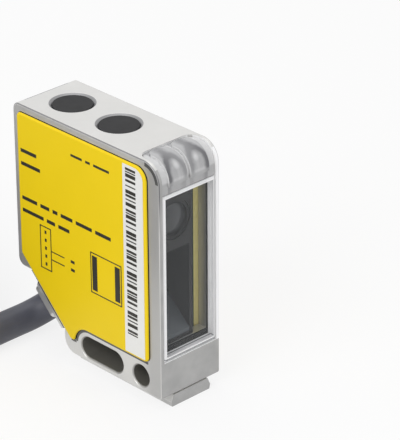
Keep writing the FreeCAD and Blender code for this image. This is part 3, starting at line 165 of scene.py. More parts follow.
class Recipe:
    """A material, or the world, under construction."""

    def __init__(self, name, world=None):
        self.owner = world or bpy.data.materials.new(name)
        self.owner.use_nodes = True
        self.tree = self.owner.node_tree
        self.tree.nodes.clear()
        self.place = self.add("ShaderNodeTexCoord", output="Object")

    def add(self, kind, settings=None, sockets=None, output=0):
        """A node of that type, its settings first, then the values or links of its sockets."""
        node = self.tree.nodes.new(kind)
        for key, value in (settings or {}).items():
            if key == "stops":
                node.color_ramp.elements[0].position = value[0][0]
                node.color_ramp.elements[0].color = value[0][1]
                node.color_ramp.elements[1].position = value[-1][0]
                node.color_ramp.elements[1].color = value[-1][1]
                for position, shade in value[1:-1]:
                    node.color_ramp.elements.new(position).color = shade
            elif key == "interpolation":
                node.color_ramp.interpolation = value
            else:
                setattr(node, key, value)
        for key, value in (sockets or {}).items():
            target = node.inputs[key]
            if isinstance(value, Wire):
                self.tree.links.new(value.socket, target)
            elif target.type == "RGBA" and len(value) == 3:
                target.default_value = (*value, 1.0)
            else:
                target.default_value = value
        return None if output is None else Wire(self, node.outputs[output])

    def noise(self, size, detail=3.0, stretch=None):
        """Soft noise from 0 to 1 whose patches are about that size, in metres."""
        place = self.place
        if stretch:
            place = self.add("ShaderNodeMapping", None, {"Vector": place, "Scale": stretch})
        sockets = {"Vector": place, "Scale": 1.0 / size, "Detail": detail}
        return self.add("ShaderNodeTexNoise", None, sockets)

    def axis(self, name):
        """The place along that axis, in metres."""
        return self.add("ShaderNodeSeparateXYZ", None, {0: self.place}, name)

    def millimetres(self, name):
        return self.axis(name) * 1000

    def facing(self, name):
        """How far the surface faces along that axis, from -1 to 1."""
        normal = self.add("ShaderNodeNewGeometry", output="Normal")
        return self.add("ShaderNodeSeparateXYZ", None, {0: normal}, name)

    def seen(self):
        """1 for what is seen straight, mirrored or through glass, and 0 for what gives light."""
        straight, mirrored, through = (
            self.add("ShaderNodeLightPath", output=f"Is {kind} Ray")
            for kind in ("Camera", "Glossy", "Transmission")
        )
        return straight.at_least(mirrored).at_least(through)

    def ramp(self, value, stops, interpolation="LINEAR"):
        settings = {"interpolation": interpolation, "stops": stops}
        return self.add("ShaderNodeValToRGB", settings, {0: value})

    def blend(self, factor, first, second):
        settings = {"data_type": "RGBA", "blend_type": "MIX"}
        return self.add("ShaderNodeMix", settings, {0: factor, 6: first, 7: second}, 2)

    def coats(self, base, *layers):
        """The base colour under layers of paint, each with its mask and its colour."""
        for mask, paint in layers:
            base = self.blend(mask, base, paint)
        return base

    def shade(self, base, amount, size, detail=3.0):
        """The base colour, a little lighter and darker in patches of that size."""
        low = tuple(max(0.0, part * (1 - amount)) for part in base)
        high = tuple(min(1.0, part * (1 + amount)) for part in base)
        return self.blend(self.noise(size, detail), low, high)

    def bump(self, height, distance, strength):
        sockets = {"Height": height, "Distance": distance, "Strength": strength}
        return self.add("ShaderNodeBump", None, sockets)

    def finish(self, **sockets):
        """The surface itself, from the named sockets of its shader."""
        names = {
            key.replace("_", " ").title().replace("Ior", "IOR"): value
            for key, value in sockets.items()
        }
        surface = self.add("ShaderNodeBsdfPrincipled", None, names)
        self.add("ShaderNodeOutputMaterial", None, {"Surface": surface}, None)
        return self.owner


# Places on the housing where its finish and its painted shade, light and reflections change, in
# millimetres

# A half is counted from the middle plane, a depth along Y and a height along Z.

# Holes and plug seats, with painted shade inside.
HOLE_MOUTH_HALF = 7.85
HOLE_FADE = 0.4
HOLES_DEPTH = (-17.6, 2.75)
HOLES_HEIGHT = (3.1, 8.3)
PLUG_SEAT_HALF = 5.6
PLUG_SEAT_HEIGHT = (51.0, 52.47)

# Painted dark reflection on the rounded top edges, painted shade on the front and sides, and a
# painted reflection on the post beside the pane. A rise is per millimetre.
TOP_EDGE_HALF = 7.2
TOP_EDGE_START = 38.0
TOP_EDGE_RISE = 0.12
POST_SIDE = 6.6
POST_FOOT = 10.3
FRONT_DEPTH = -18.0
NEAR_SIDE_START = -14.0
NEAR_SIDE_RISE = 0.25

# Painted shade in the gaps round the covers: round the slot, under the cover's tip, on the slope
# and at the front corner. The end, the start and the centre are each a depth and a height; other
# pairs are limits.
COVER_RECESS_HALF = 7.6
SLOT_END = (0.05, 5.7)
SLOT_GROOVE_RADII = (3.28, 3.86)
SLOT_GROOVE_START = (-17.1, 5.9)
TIP_GROOVE_DEPTH = (3.8, 5.3)
TIP_GROOVE_HEIGHT = (5.45, 5.98)
SLOPE_OFFSET = 0.836
SLOPE_GROOVE = (-0.02, 0.3)
SLOPE_GROOVE_HEIGHT = (5.7, 17.0)
RIM_OFFSET = 0.14
RIM_GROOVE = (0.12, 0.42)
CORNER_CENTRE = (-16.5, 48.25)
CORNER_GROOVE_RADII = (3.2, 3.99)
CORNER_MARGIN = 0.3

# Painted light on the walls of the pocket for the pane and the light window.
POCKET_SIDE_HALF = (6.5, 7.06)
POCKET_HEIGHT = (10.1, 52.44)
POCKET_END_DEPTH = (-14.2, -13.5)
POCKET_SILL_HEIGHT = 10.6
POCKET_SILL_DEPTH = -18.6

# Painted shade on the covers' lip, and the light window's ribs and the height of its grey sill.
COVER_SHADE_HALF = 7.98
RIB_EDGES = (0.45, 5.2)
RIB_MIDDLE = 2.85
RIB_RADIUS = 2.4
WINDOW_SILL = 2.6

# Sine and cosine of the rear slope's 45 degrees.
SLOPE = 0.7071

# How far a surface faces along an axis, where 1 is straight along it.
FLAT_SIDE = 0.93
ROUNDED_EDGE = (0.25, 0.93)
HOLE_WALL = 0.9
RECESS_FLOOR = 0.8
POCKET_WALL = 0.6
CORNER_EDGE = 0.3
FRONT_FACE = 0.7


# Finishes


def ring_mask(y, z, radii):
    """1 between two radii round the point from which y and z are counted."""
    reach = y.squared() + z.squared()
    return (reach > radii[0] * radii[0]) * (reach < radii[1] * radii[1])


def gap_shade_mask(across, y, z, sideways):
    """1 where shade is painted in the gaps round the left and right covers."""
    past_slot = (y - SLOT_END[0]).at_least(0.0)
    beside = ring_mask(past_slot, z - SLOT_END[1], SLOT_GROOVE_RADII)
    beside = beside * (y > SLOT_GROOVE_START[0]) * (z > SLOT_GROOVE_START[1])
    under = z.between(*TIP_GROOVE_HEIGHT) * y.between(*TIP_GROOVE_DEPTH)
    slope = (y - z + SLOPE_OFFSET) * SLOPE
    behind = slope.between(*SLOPE_GROOVE) * z.between(*SLOPE_GROOVE_HEIGHT)
    recess = (sideways > RECESS_FLOOR) * (across > COVER_RECESS_HALF)

    corner_y = (CORNER_CENTRE[0] - y).at_least(0.0)
    corner_z = (z - CORNER_CENTRE[1]).at_least(0.0)
    corner = ring_mask(corner_y, corner_z, CORNER_GROOVE_RADII)
    corner = corner * (corner_z > CORNER_MARGIN) * (corner_y > CORNER_MARGIN)
    corner = corner * (sideways > CORNER_EDGE)
    return (recess * beside.at_least(under).at_least(behind)).at_least(corner)


def pocket_light_mask(recipe, across, y, z, sideways):
    """1 on the walls of the pocket for the pane and the light window, where light is painted."""
    end = (recipe.facing("Y") < -POCKET_WALL) * y.between(*POCKET_END_DEPTH)
    sill = (recipe.facing("Z") > POCKET_WALL) * (z < POCKET_SILL_HEIGHT) * (y < POCKET_SILL_DEPTH)
    side = (sideways > POCKET_WALL) * (across > POCKET_SIDE_HALF[0]) * (y < POCKET_END_DEPTH[1])
    inside = (across < POCKET_SIDE_HALF[1]) * z.between(*POCKET_HEIGHT)
    return inside * end.at_least(sill).at_least(side)


def casting_finish():
    """Satin plating over a slightly uneven casting, rougher in its holes, with painted shade in its
    holes, seats and gaps, painted reflections on its edges and post, and painted light in its
    pocket.
    """
    recipe = Recipe("plated_casting")
    grain = recipe.noise(0.3 * MM, 4.0)
    swell = recipe.noise(5 * MM, 2.0)
    x, y, z = (recipe.millimetres(name) for name in "XYZ")
    across = abs(x)
    sideways = abs(recipe.facing("X"))
    forwards = recipe.facing("Y") < -FRONT_FACE

    # Painted shade inside the holes, their mouths included, and in the plug seats.
    inwards = ((HOLE_MOUTH_HALF - across) * (1 / HOLE_FADE)).clamped()
    hole_shade = inwards * (sideways < HOLE_WALL) * z.between(*HOLES_HEIGHT) * y.between(*HOLES_DEPTH)
    seat_shade = z.between(*PLUG_SEAT_HEIGHT) * (across < PLUG_SEAT_HALF)
    # Painted dark reflection on the rounded edges near the top.
    edge = sideways.between(*ROUNDED_EDGE) * (across > TOP_EDGE_HALF)
    edge = edge * ((z - TOP_EDGE_START) * TOP_EDGE_RISE).clamped()
    # Painted reflection on the post beside the pane.
    post_reflection = (x > POST_SIDE) * (z > POST_FOOT)
    # Painted shade on the front face, apart from the post, and on the sides towards the front.
    front_shade = forwards * (y < FRONT_DEPTH) * (1 - post_reflection) * (0.45 + recipe.noise(4 * MM, 2.0) * 0.5)
    side = (sideways > FLAT_SIDE) * ((NEAR_SIDE_START - y) * NEAR_SIDE_RISE).clamped() * 0.5
    # Painted shade in the gaps round the covers.
    groove = gap_shade_mask(across, y, z, sideways)
    # Painted light on the walls of the pocket.
    pocket_light = pocket_light_mask(recipe, across, y, z, sideways)

    # Over the plating, the layers paint shade on the front and sides, a reflection on the post,
    # shade in the holes and plug seats, a dark reflection on the edges, shade in the gaps round the
    # covers and light on the pocket's walls.
    plating = recipe.coats(
        recipe.shade(colours().casting, 0.06, 7 * MM),
        (front_shade.at_least(side), (0.3, 0.3, 0.3)),
        (post_reflection * forwards, (0.92, 0.92, 0.93)),
        (hole_shade, (0.13, 0.126, 0.11)),
        (seat_shade, (0.3, 0.3, 0.305)),
        (edge * 0.75, (0.1, 0.1, 0.11)),
        (groove * 0.9, (0.02, 0.02, 0.02)),
        (pocket_light, (0.95, 0.95, 0.95)),
    )
    return recipe.finish(
        base_color=plating,
        metallic=(1 - hole_shade.at_least(groove).at_least(pocket_light)) * 0.7,
        roughness=recipe.noise(2.2 * MM) * 0.16 + hole_shade * 0.2 + 0.3,
        normal=recipe.bump(grain * 0.5 + swell, 0.03 * MM, 0.35),
    )


def rim_finish():
    """Plated rim with a painted shade line along the groove between it and the cover."""
    recipe = Recipe("slope_rim")
    # Painted shade along the groove between the rim and the cover.
    out = (recipe.millimetres("Y") - recipe.millimetres("Z")) * SLOPE + RIM_OFFSET
    groove = out.between(*RIM_GROOVE)
    plating = recipe.shade(colours().casting, 0.06, 3 * MM)
    return recipe.finish(
        base_color=recipe.blend(groove, plating, (0.02, 0.02, 0.02)),
        metallic=(1 - groove) * 0.7,
        roughness=recipe.noise(2.2 * MM) * 0.16 + 0.3,
        normal=recipe.bump(recipe.noise(0.3 * MM, 4.0), 0.02 * MM, 0.35),
    )


def moulded_finish(name, base, roughness, grain=None, coat=0.0, shine=0.5):
    """Moulded plastic with a fine grain and faint uneven gloss."""
    recipe = Recipe(name)
    return recipe.finish(
        base_color=recipe.shade(base, 0.04, 6 * MM),
        roughness=recipe.noise(1.6 * MM) * 0.12 + (roughness - 0.06),
        coat_weight=coat,
        coat_roughness=0.15,
        specular_ior_level=shine,
        normal=recipe.bump(recipe.noise(grain or sizes().grain, 2.0), 0.012 * MM, 0.6),
    )


def rubber_finish(name, base, roughness=0.6):
    """Soft matt rubber with a trace of dust."""
    recipe = Recipe(name)
    dust = recipe.noise(1.2 * MM, 5.0)
    return recipe.finish(
        base_color=recipe.blend(dust, base, tuple(part * 1.5 + 0.004 for part in base)),
        roughness=dust * 0.2 + (roughness - 0.1),
        specular_ior_level=0.35,
        normal=recipe.bump(recipe.noise(0.5 * MM), 0.02 * MM, 0.5),
    )


def cover_finish():
    """Yellow moulding, with painted shade on its lip at the root of its edge."""
    recipe = Recipe("yellow_plastic")
    # Painted shade on the cover's lip, where it meets the frame.
    lip = abs(recipe.millimetres("X")) < COVER_SHADE_HALF
    yellow = recipe.shade(colours().cover, 0.025, 8 * MM)
    return recipe.finish(
        base_color=recipe.blend(lip, yellow, (0.014, 0.013, 0.012)),
        roughness=recipe.noise(1.6 * MM) * 0.1 + 0.42,
        specular_ior_level=0.3,
        normal=recipe.bump(recipe.noise(sizes().grain, 2.0), 0.012 * MM, 0.5),
    )


def clear_finish(name, base, unevenness, size, roughness, alpha):
    """Plain clear moulding or glass, with patches of that size in its colour."""
    recipe = Recipe(name)
    return recipe.finish(
        base_color=recipe.shade(base, unevenness, size),
        roughness=roughness,
        alpha=alpha,
    )


def pane_finish():
    """Clear pane with painted reflections along its edges."""
    recipe = Recipe("clear_pane")
    low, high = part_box("front_pane")
    level = recipe.axis("Z")
    haze = recipe.noise(3 * MM)
    # Painted reflections: bright lines along the sides, the top and the bottom, with a smoke line
    # between two at the bottom.
    edge = abs(recipe.axis("X")) > high.x - 0.7 * MM
    edge = edge.at_least(level < low.z + 1.0 * MM).at_least(level > high.z - 0.5 * MM)
    groove = level.between(low.z + 0.45 * MM, low.z + 0.7 * MM)
    smoke = (0.3, 0.31, 0.32)
    white = recipe.blend(groove, (0.97, 0.97, 0.98), smoke)
    return recipe.finish(
        base_color=recipe.blend(edge, smoke, white),
        roughness=haze * 0.05 + 0.05,
        alpha=edge * 0.88 + haze * 0.05 + 0.07,
        specular_ior_level=0.7,
        normal=recipe.bump(haze, 0.02 * MM, 0.3),
    )


def indicator_finish():
    """Clear moulding; on each rib a dark arch and a highlight are painted as reflections, and the
    ridge between them is painted bright.
    """
    recipe = Recipe("clear_window")
    across = abs(recipe.millimetres("X"))
    rise = recipe.facing("Z")
    wave = recipe.noise(1.6 * MM, 2.0) - 0.5
    haze = recipe.noise(2 * MM)

    # On a rib, side runs from -1 to 1 across it, and up from 0 at its front to nearly 1 on top.
    side = (across - RIB_MIDDLE) * (1 / RIB_RADIUS)
    up = ((rise - 0.45) * (1 / 0.6)).at_least(0.0)

    # The painted dark reflection is an arch, an uneven ring round the rib's middle, and the painted
    # highlight a soft spot within it.
    reach = side.squared() + up.squared() + wave * 0.35
    dark_arch_reflection = (1.5 - abs(reach - 0.68) * 3).clamped() * (0.7 + side * 0.3)
    highlight_spot = (1 - (side + 0.15).squared() * 9 - (up - 0.35).squared() * 6).at_least(0.0)
    # A painted highlight makes the foot of each rib paler.
    foot = ((0.16 - rise) * 9).clamped()
    reflection_greys = [
        (0.0, (0.55, 0.55, 0.56, 1)),
        (0.5, (0.45, 0.45, 0.46, 1)),
        (0.98, (0.5, 0.5, 0.51, 1)),
    ]
    # The ribs' colour is painted reflection: greys by how far they face up, a paler foot, a
    # highlight spot and a dark arch.
    ribs = recipe.coats(
        recipe.ramp(rise + wave * 0.15, reflection_greys),
        (foot * 0.5, (0.75, 0.75, 0.76)),
        (highlight_spot * 0.6, (0.85, 0.85, 0.86)),
        (dark_arch_reflection, (0.12, 0.12, 0.13)),
    )

    sill_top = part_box("indicator_window")[0].z / MM + WINDOW_SILL
    sill = ((sill_top - recipe.millimetres("Z")) * 1.5).clamped(0.7)
    margins = (0.72, 0.72, 0.725)
    return recipe.finish(
        base_color=recipe.coats(
            margins, (across.between(*RIB_EDGES), ribs), (sill, (0.42, 0.42, 0.425))
        ),
        roughness=haze * 0.06 + 0.1,
        alpha=haze * 0.06 + 0.88,
        specular_ior_level=0.5,
        coat_weight=0.4,
        coat_roughness=0.06,
        normal=recipe.bump(haze, 0.03 * MM, 0.4),
    )


def plug_finish():
    """Smooth dark moulding, with painted sheen that makes its bevel a little lighter."""
    recipe = Recipe("dark_plug")
    # Painted sheen on the bevel.
    slanted = recipe.facing("Z") < 0.95
    dark = recipe.shade(colours().plug, 0.45, 6 * MM, 1.0)
    return recipe.finish(
        base_color=recipe.blend(slanted, dark, (0.09, 0.09, 0.095)),
        roughness=recipe.noise(1.5 * MM) * 0.1 + 0.42,
        specular_ior_level=0.22,
        normal=recipe.bump(recipe.noise(sizes().grain, 2.0), 0.006 * MM, 0.4),
    )


def metal_finish(name, base):
    """Drawn or crimped metal with fine upright lines."""
    recipe = Recipe(name)
    lines = recipe.noise(0.4 * MM, stretch=(1.0, 1.0, 0.1))
    return recipe.finish(
        base_color=recipe.shade(base, 0.06, 2 * MM),
        metallic=1.0,
        roughness=lines * 0.2 + 0.25,
        normal=recipe.bump(lines, 0.01 * MM, 0.4),
    )


def board_finish():
    """Solder resist on both faces and bare laminate on the cut edges."""
    recipe = Recipe("circuit_board")
    flat = abs(recipe.facing("X")) > 0.5
    fibres = recipe.noise(0.5 * MM, 2.0, (1.0, 1.0, 4.0))
    resist = recipe.shade(colours().board, 0.2, 1.5 * MM)
    laminate = recipe.shade(colours().laminate, 0.15, 1.0 * MM)
    return recipe.finish(
        base_color=recipe.blend(flat, laminate, resist),
        roughness=fibres * 0.2 + 0.35,
        normal=recipe.bump(fibres, 0.02 * MM, 0.4),
    )


def cores_finish():
    """Four insulated cores side by side, with bare copper at their tips."""
    recipe = Recipe("core_sheath")
    low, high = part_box("bare_leads")
    middle = (low + high) / 2
    lean = math.radians(20)
    row_width, bare_length = 8 * MM, 5 * MM
    sine, cosine = math.sin(lean), math.cos(lean)
    x, y = recipe.axis("X"), recipe.axis("Y")
    row = (x * -sine + y * -cosine + (middle.x * sine + middle.y * cosine)) * (1 / row_width) + 0.5
    stops = [
        (0.0, (0.16, 0.05, 0.02, 1)),
        (0.3, (0.7, 0.7, 0.68, 1)),
        (0.5, (0.03, 0.08, 0.4, 1)),
        (0.7, (0.015, 0.015, 0.015, 1)),
    ]
    tip = -low.x * cosine + high.y * sine
    copper = (x * -cosine + y * sine) > tip - bare_length
    return recipe.finish(
        base_color=recipe.blend(copper, recipe.ramp(row, stops, "CONSTANT"), (0.7, 0.32, 0.16)),
        metallic=copper,
        roughness=recipe.noise(0.5 * MM) * 0.1 + 0.35,
    )


def sheath_finish():
    """Extruded cable sheath with faint lengthwise waviness."""
    recipe = Recipe("cable_sheath")
    wave = recipe.noise(2.5 * MM, 2.0)
    fine = recipe.noise(0.3 * MM)
    return recipe.finish(
        base_color=recipe.shade(colours().sheath, 0.2, 4 * MM),
        roughness=wave * 0.1 + 0.42,
        specular_ior_level=0.45,
        normal=recipe.bump(wave + fine * 0.3, 0.02 * MM, 0.4),
    )


# Making pieces


def dress(material, *nodes):
    """Give CAD nodes a finish; their shape stays."""
    for name in nodes:
        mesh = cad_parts[name].data
        mesh.materials.clear()
        mesh.materials.append(material)


def add_object(name, data):
    """Put a new object into the scene, at its origin."""
    piece = bpy.data.objects.new(name, data)
    bpy.context.collection.objects.link(piece)
    return piece


def extrude_across(shape, faces, start, width):
    """Thicken faces of the middle plane by that width, and move them to that start across."""
    wall = bmesh.ops.extrude_face_region(shape, geom=faces)["geom"]
    moved = [item for item in wall if isinstance(item, bmesh.types.BMVert)]
    bmesh.ops.translate(shape, verts=moved, vec=(width, 0, 0))
    bmesh.ops.translate(shape, verts=shape.verts, vec=(start, 0, 0))
    bmesh.ops.recalc_face_normals(shape, faces=shape.faces)


def bevel(shape, edges, width, segments):
    """Round those edges."""
    bmesh.ops.bevel(
        shape,
        geom=edges,
        offset=width,
        affect="EDGES",
        segments=segments,
        profile=0.5,
        material=-1,
    )


def make_piece(name, shape, sharp_angle, material):
    """Turn a finished shape into a piece whose edges are sharp from that angle on, in degrees."""
    bmesh.ops.recalc_face_normals(shape, faces=shape.faces)
    mesh = bpy.data.meshes.new(name)
    shape.to_mesh(mesh)
    shape.free()
    mesh.shade_smooth()
    mesh.set_sharp_from_angle(angle=math.radians(sharp_angle))
    mesh.materials.append(material)
    return add_object(name, mesh)


# Camera

# Turn, rise and roll in degrees, the aim beside the middle of the picture and the distance, both in
# millimetres, and the focal length in picture points.
CAMERA_ANGLES = (-43.876, 27.048, -0.254)
CAMERA_AIM = (16.372, 28.209)
CAMERA_DISTANCE = 545.973
FOCAL_LENGTH = 2698.6
PICTURE_HEIGHT = 440
SENSOR_HEIGHT = 36
# The camera was placed for a housing 42 mm deep, and this one is 41.5 mm deep.
CAMERA_SCALE = 41.5 / 42


class SENSOR_OT_camera(bpy.types.Operator):
    """Set the camera at the product picture's angle"""

    bl_idname = "sensor.camera"
    bl_label = "Camera"

    def execute(self, context):
        turn, rise, roll = (math.radians(value) for value in CAMERA_ANGLES)
        back = Vector(
            (math.sin(turn) * math.cos(rise), -math.cos(turn) * math.cos(rise), math.sin(rise))
        )
        level_right = Vector((math.cos(turn), math.sin(turn), 0))
        level_up = back.cross(level_right)
        right = level_right * math.cos(roll) + level_up * math.sin(roll)
        up = level_up * math.cos(roll) - level_right * math.sin(roll)
        place = right * CAMERA_AIM[0] + up * CAMERA_AIM[1] + back * CAMERA_DISTANCE
        data = bpy.data.cameras.new("camera")
        data.sensor_fit = "VERTICAL"
        data.sensor_height = SENSOR_HEIGHT
        data.lens = FOCAL_LENGTH * SENSOR_HEIGHT / PICTURE_HEIGHT
        data.clip_end = 20
        camera = add_object("camera", data)
        turned = Matrix((right, up, back)).transposed().to_4x4()
        camera.matrix_world = Matrix.Translation(place * CAMERA_SCALE * MM) @ turned
        context.scene.camera = camera
        return {"FINISHED"}


# Cable and coil

# The cable's route on its centre line, in millimetres, from the collar to the coil.
CABLE_ROUTE = [
    (0.0, 15.93, 8.96),
    (0.0, 17.839, 7.051),
    (-1.03, 19.6, 5.331),
    (-2.94, 20.95, 3.978),
    (-5.44, 21.68, 3.258),
    (-9.4, 21.86, 3.2),
    (-12.6, 21.86, 3.2),
]
COIL_X = -35.6
POINTS_PER_TURN = 24
# Each turn's lane, counted outwards from the coil's middle lane, and its layer. The last turn goes
# towards the last pair.
TURNS = [
    (1, 0), (0, 0), (-1, 0),
    (-1, 1), (0, 1), (1, 1),
    (1, 2), (0, 2), (-1, 2),
    (-1, 3), (0, 3),
]
FULL_TURNS = 9
LAST_TURN_POINTS = 22

# The strap's width, its slack round the turns, its height over the floor and its rounded edges, in
# millimetres, and the angle in radians from which an edge of it is rounded.
STRAP_WIDTH = 4.0
STRAP_SLACK = 0.04
STRAP_OVER_FLOOR = 0.02
STRAP_ROUNDING = 0.12
STRAP_EDGE_ANGLE = 1.2
STEPS_PER_BEND = 6


def coil_centre():
    """The middle of the coil's lowest layer, beside the end of the cable's route."""
    entry = Vector(CABLE_ROUTE[-1]) * MM
    beside = sizes().coil_turn + sizes().cable_diameter
    return Vector((COIL_X * MM, entry.y + beside, entry.z))


def coil_points():
    """The put-away length: three layers of three turns, and a last one on top."""
    thick = sizes().cable_diameter
    centre = coil_centre()
    step = 2 * math.pi / POINTS_PER_TURN
    # The line runs a little inside its control points.
    spread = 1 / math.cos(step / 2)
    points = []
    for index in range(POINTS_PER_TURN * FULL_TURNS + LAST_TURN_POINTS + 1):
        turn, place = divmod(index, POINTS_PER_TURN)
        (lane, layer), (next_lane, next_layer) = TURNS[turn], TURNS[turn + 1]
        # The lane changes in the second half of a turn, but in the first half of the last one.
        change = max(0.0, place * 2 / POINTS_PER_TURN - 1)
        if turn == FULL_TURNS:
            change = min(1.0, place * 2 / POINTS_PER_TURN)
        slide = change * change * (3 - 2 * change)
        climb = math.sqrt(change * (2 - change)) * change**0.5
        reach = (sizes().coil_turn + thick * (lane + (next_lane - lane) * slide)) * spread
        level = thick * (layer + (next_layer - layer) * climb)
        angle = -math.pi / 2 - index * step
        points.append(
            centre + Vector((reach * math.cos(angle), reach * math.sin(angle), level))
        )
    return points


def strap_line(gap):
    """The strap's line round the turns, at that distance from them."""
    thick = sizes().cable_diameter
    centre = coil_centre()
    clear = centre.z - STRAP_OVER_FLOOR * MM
    under = math.degrees(math.acos(clear / (thick / 2 + sizes().strap))) - 90
    # Each bend's lane and layer, and the angles at which it starts and stops, in degrees.
    bends = [
        (1, 0, under, 0),
        (1, 2, 0, 45),
        (0, 3, 45, 135),
        (-1, 2, 135, 180),
        (-1, 0, 180, 180 - under),
    ]
    line = []
    for lane, layer, start, stop in bends:
        turn = Vector((0, sizes().coil_turn + thick * lane, thick * layer))
        for step in range(STEPS_PER_BEND + 1):
            angle = math.radians(start + (stop - start) * step / STEPS_PER_BEND)
            out = Vector((0, math.cos(angle), math.sin(angle))) * (thick / 2 + gap)
            line.append(centre + turn + out)
    return line


class SENSOR_OT_strap(bpy.types.Operator):
    """Pull the strap round the coil"""

    bl_idname = "sensor.strap"
    bl_label = "Strap"

    def execute(self, context):
        width = STRAP_WIDTH * MM
        shape = bmesh.new()
        edges = []
        for gap in (STRAP_SLACK * MM, sizes().strap):
            loop = [shape.verts.new(place) for place in strap_line(gap)]
            edges += [shape.edges.new((loop[i - 1], loop[i])) for i in range(len(loop))]
        ring = bmesh.ops.bridge_loops(shape, edges=edges)["faces"]
        extrude_across(shape, ring, -width / 2, width)
        rims = [edge for edge in shape.edges if edge.calc_face_angle(0) > STRAP_EDGE_ANGLE]
        bevel(shape, rims, STRAP_ROUNDING * MM, 2)
        plastic = moulded_finish("tie_plastic", (0.03, 0.03, 0.032), 0.5)
        strap = make_piece("coil_strap", shape, 40, plastic)
        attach(strap, ROOT)
        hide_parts("coil_tie")
        return {"FINISHED"}


def make_tube(name, points, radius):
    """A smooth tube on an open spline with those control points."""
    data = bpy.data.curves.new(name, "CURVE")
    data.dimensions = "3D"
    data.bevel_depth = radius
    data.bevel_resolution = 6
    data.use_fill_caps = True
    spline = data.splines.new("NURBS")
    spline.points.add(len(points) - 1)
    for point, place in zip(spline.points, points):
        point.co = (*place, 1.0)
    spline.order_u = 3
    spline.use_endpoint_u = True
    spline.resolution_u = 6
    return add_object(name, data)


class SENSOR_OT_cable(bpy.types.Operator):
    """Lay the cable and wind its put-away length"""

    bl_idname = "sensor.cable"
    bl_label = "Cable"

    def execute(self, context):
        diameter = sizes().cable_diameter
        points = [Vector(place) * MM for place in CABLE_ROUTE]
        cable = make_tube("cable", points + coil_points(), diameter / 2)
        cable.data.materials.append(sheath_finish())
        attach(cable, ROOT)
        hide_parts("sensor_cable", "cable_coil")
        dress(cores_finish(), "bare_leads")
        return {"FINISHED"}


# Housing


class SENSOR_OT_frame(bpy.types.Operator):
    """Finish the die-cast frame"""

    bl_idname = "sensor.frame"
    bl_label = "Frame"

    def execute(self, context):
        dress(casting_finish(), "housing_frame")
        return {"FINISHED"}


# The rims' outline in millimetres: depth and height of its foot, knee and head on the slope, its
# lower lip from knee to head, how deep it is sunk, how far its ends slant, the half width at its
# inner face, its width and its rounded edges.
RIM_FOOT = (7.15, 7.35)
RIM_KNEE = (14.6, 14.8)
RIM_HEAD = (16.75, 16.95)
RIM_LIP = 0.3
RIM_SUNK = 0.05
RIM_KNEE_RAKE = 0.4
RIM_FOOT_RAKE = 0.5
RIM_HALF = 6.9
RIM_WIDTH = 0.9
RIM_ROUNDING = 0.1


class SENSOR_OT_slope_rims(bpy.types.Operator):
    """Add the narrow rims that stand on both sides of the rear slope"""

    bl_idname = "sensor.slope_rims"
    bl_label = "Slope rims"

    def execute(self, context):
        foot, knee, head = (Vector((0, y, z)) * MM for y, z in (RIM_FOOT, RIM_KNEE, RIM_HEAD))
        out = Vector((0, SLOPE, -SLOPE))
        along = (head - foot).normalized() * MM
        sunk = out * RIM_SUNK * MM
        lip = out * RIM_LIP * MM
        full = out * sizes().slope_rim
        corners = [
            foot - sunk,
            head - sunk,
            head + lip,
            knee + lip + along * RIM_KNEE_RAKE,
            knee + full,
            foot + full + along * RIM_FOOT_RAKE,
        ]
        shape = bmesh.new()
        profile = shape.faces.new([shape.verts.new(corner) for corner in corners])
        extrude_across(shape, [profile], -RIM_HALF * MM, -RIM_WIDTH * MM)
        bevel(shape, shape.edges[:], RIM_ROUNDING * MM, 3)
        bmesh.ops.mirror(
            shape, geom=shape.verts[:] + shape.edges[:] + shape.faces[:], axis="X", merge_dist=0
        )
        rims = make_piece("slope_rims", shape, 50, rim_finish())
        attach(rims, ROOT)
        return {"FINISHED"}


class SENSOR_OT_covers(bpy.types.Operator):
    """Finish the side covers, their seals, the label and the print"""

    bl_idname = "sensor.covers"
    bl_label = "Covers"

    def execute(self, context):
        dress(cover_finish(), "left_cover", "right_cover")
        rubber = rubber_finish("black_rubber", (0.016, 0.016, 0.017))
        dress(rubber, "left_cover_seal", "right_cover_seal", "pane_seal")
        dress(rubber, "front_plug_ring", "rear_plug_ring", "cable_seal")
        dress(moulded_finish("printed_label", colours().label, 0.38), "code_label")
        ink = moulded_finish("black_print", colours().ink, 0.5, grain=0.2 * MM)
        dress(ink, "label_bars", "cover_print")
        return {"FINISHED"}


class SENSOR_OT_plugs(bpy.types.Operator):
    """Finish the plugs of the top face"""

    bl_idname = "sensor.plugs"
    bl_label = "Plugs"

    def execute(self, context):
        dress(plug_finish(), "front_plug", "rear_plug")
        return {"FINISHED"}


# Window and what is behind it


class SENSOR_OT_window(bpy.types.Operator):
    """Finish the pane, the light window and what lights it"""

    bl_idname = "sensor.window"
    bl_label = "Window"

    def execute(self, context):
        dress(pane_finish(), "front_pane")
        dress(indicator_finish(), "indicator_window")
        guides = clear_finish("clear_guides", (0.75, 0.77, 0.78), 0.05, 2 * MM, 0.1, 0.6)
        dress(guides, "light_guides")
        dress(moulded_finish("white_plastic", (0.78, 0.78, 0.77), 0.5), "light_box")
        dress(moulded_finish("lamp_body", (0.72, 0.72, 0.66), 0.2, coat=0.4), "indicator_leds")
        return {"FINISHED"}


class SENSOR_OT_optics(bpy.types.Operator):
    """Finish the carrier, the lens and the light source"""

    bl_idname = "sensor.optics"
    bl_label = "Optics"

    def execute(self, context):
        black = moulded_finish("black_plastic", colours().carrier, 0.5, shine=0.25)
        dress(black, "optics_carrier", "lens_retainer", "board_header", "control_chips")
        dress(moulded_finish("grey_plastic", colours().baffle, 0.4), "lower_baffle")
        dress(moulded_finish("lamp_body_clear", (0.5, 0.5, 0.5), 0.15, coat=0.6), "emitter_led")
        lens = clear_finish("lens_glass", (0.07, 0.075, 0.08), 0.3, 2.5 * MM, 0.2, 0.8)
        dress(lens, "emitter_lens")
        return {"FINISHED"}


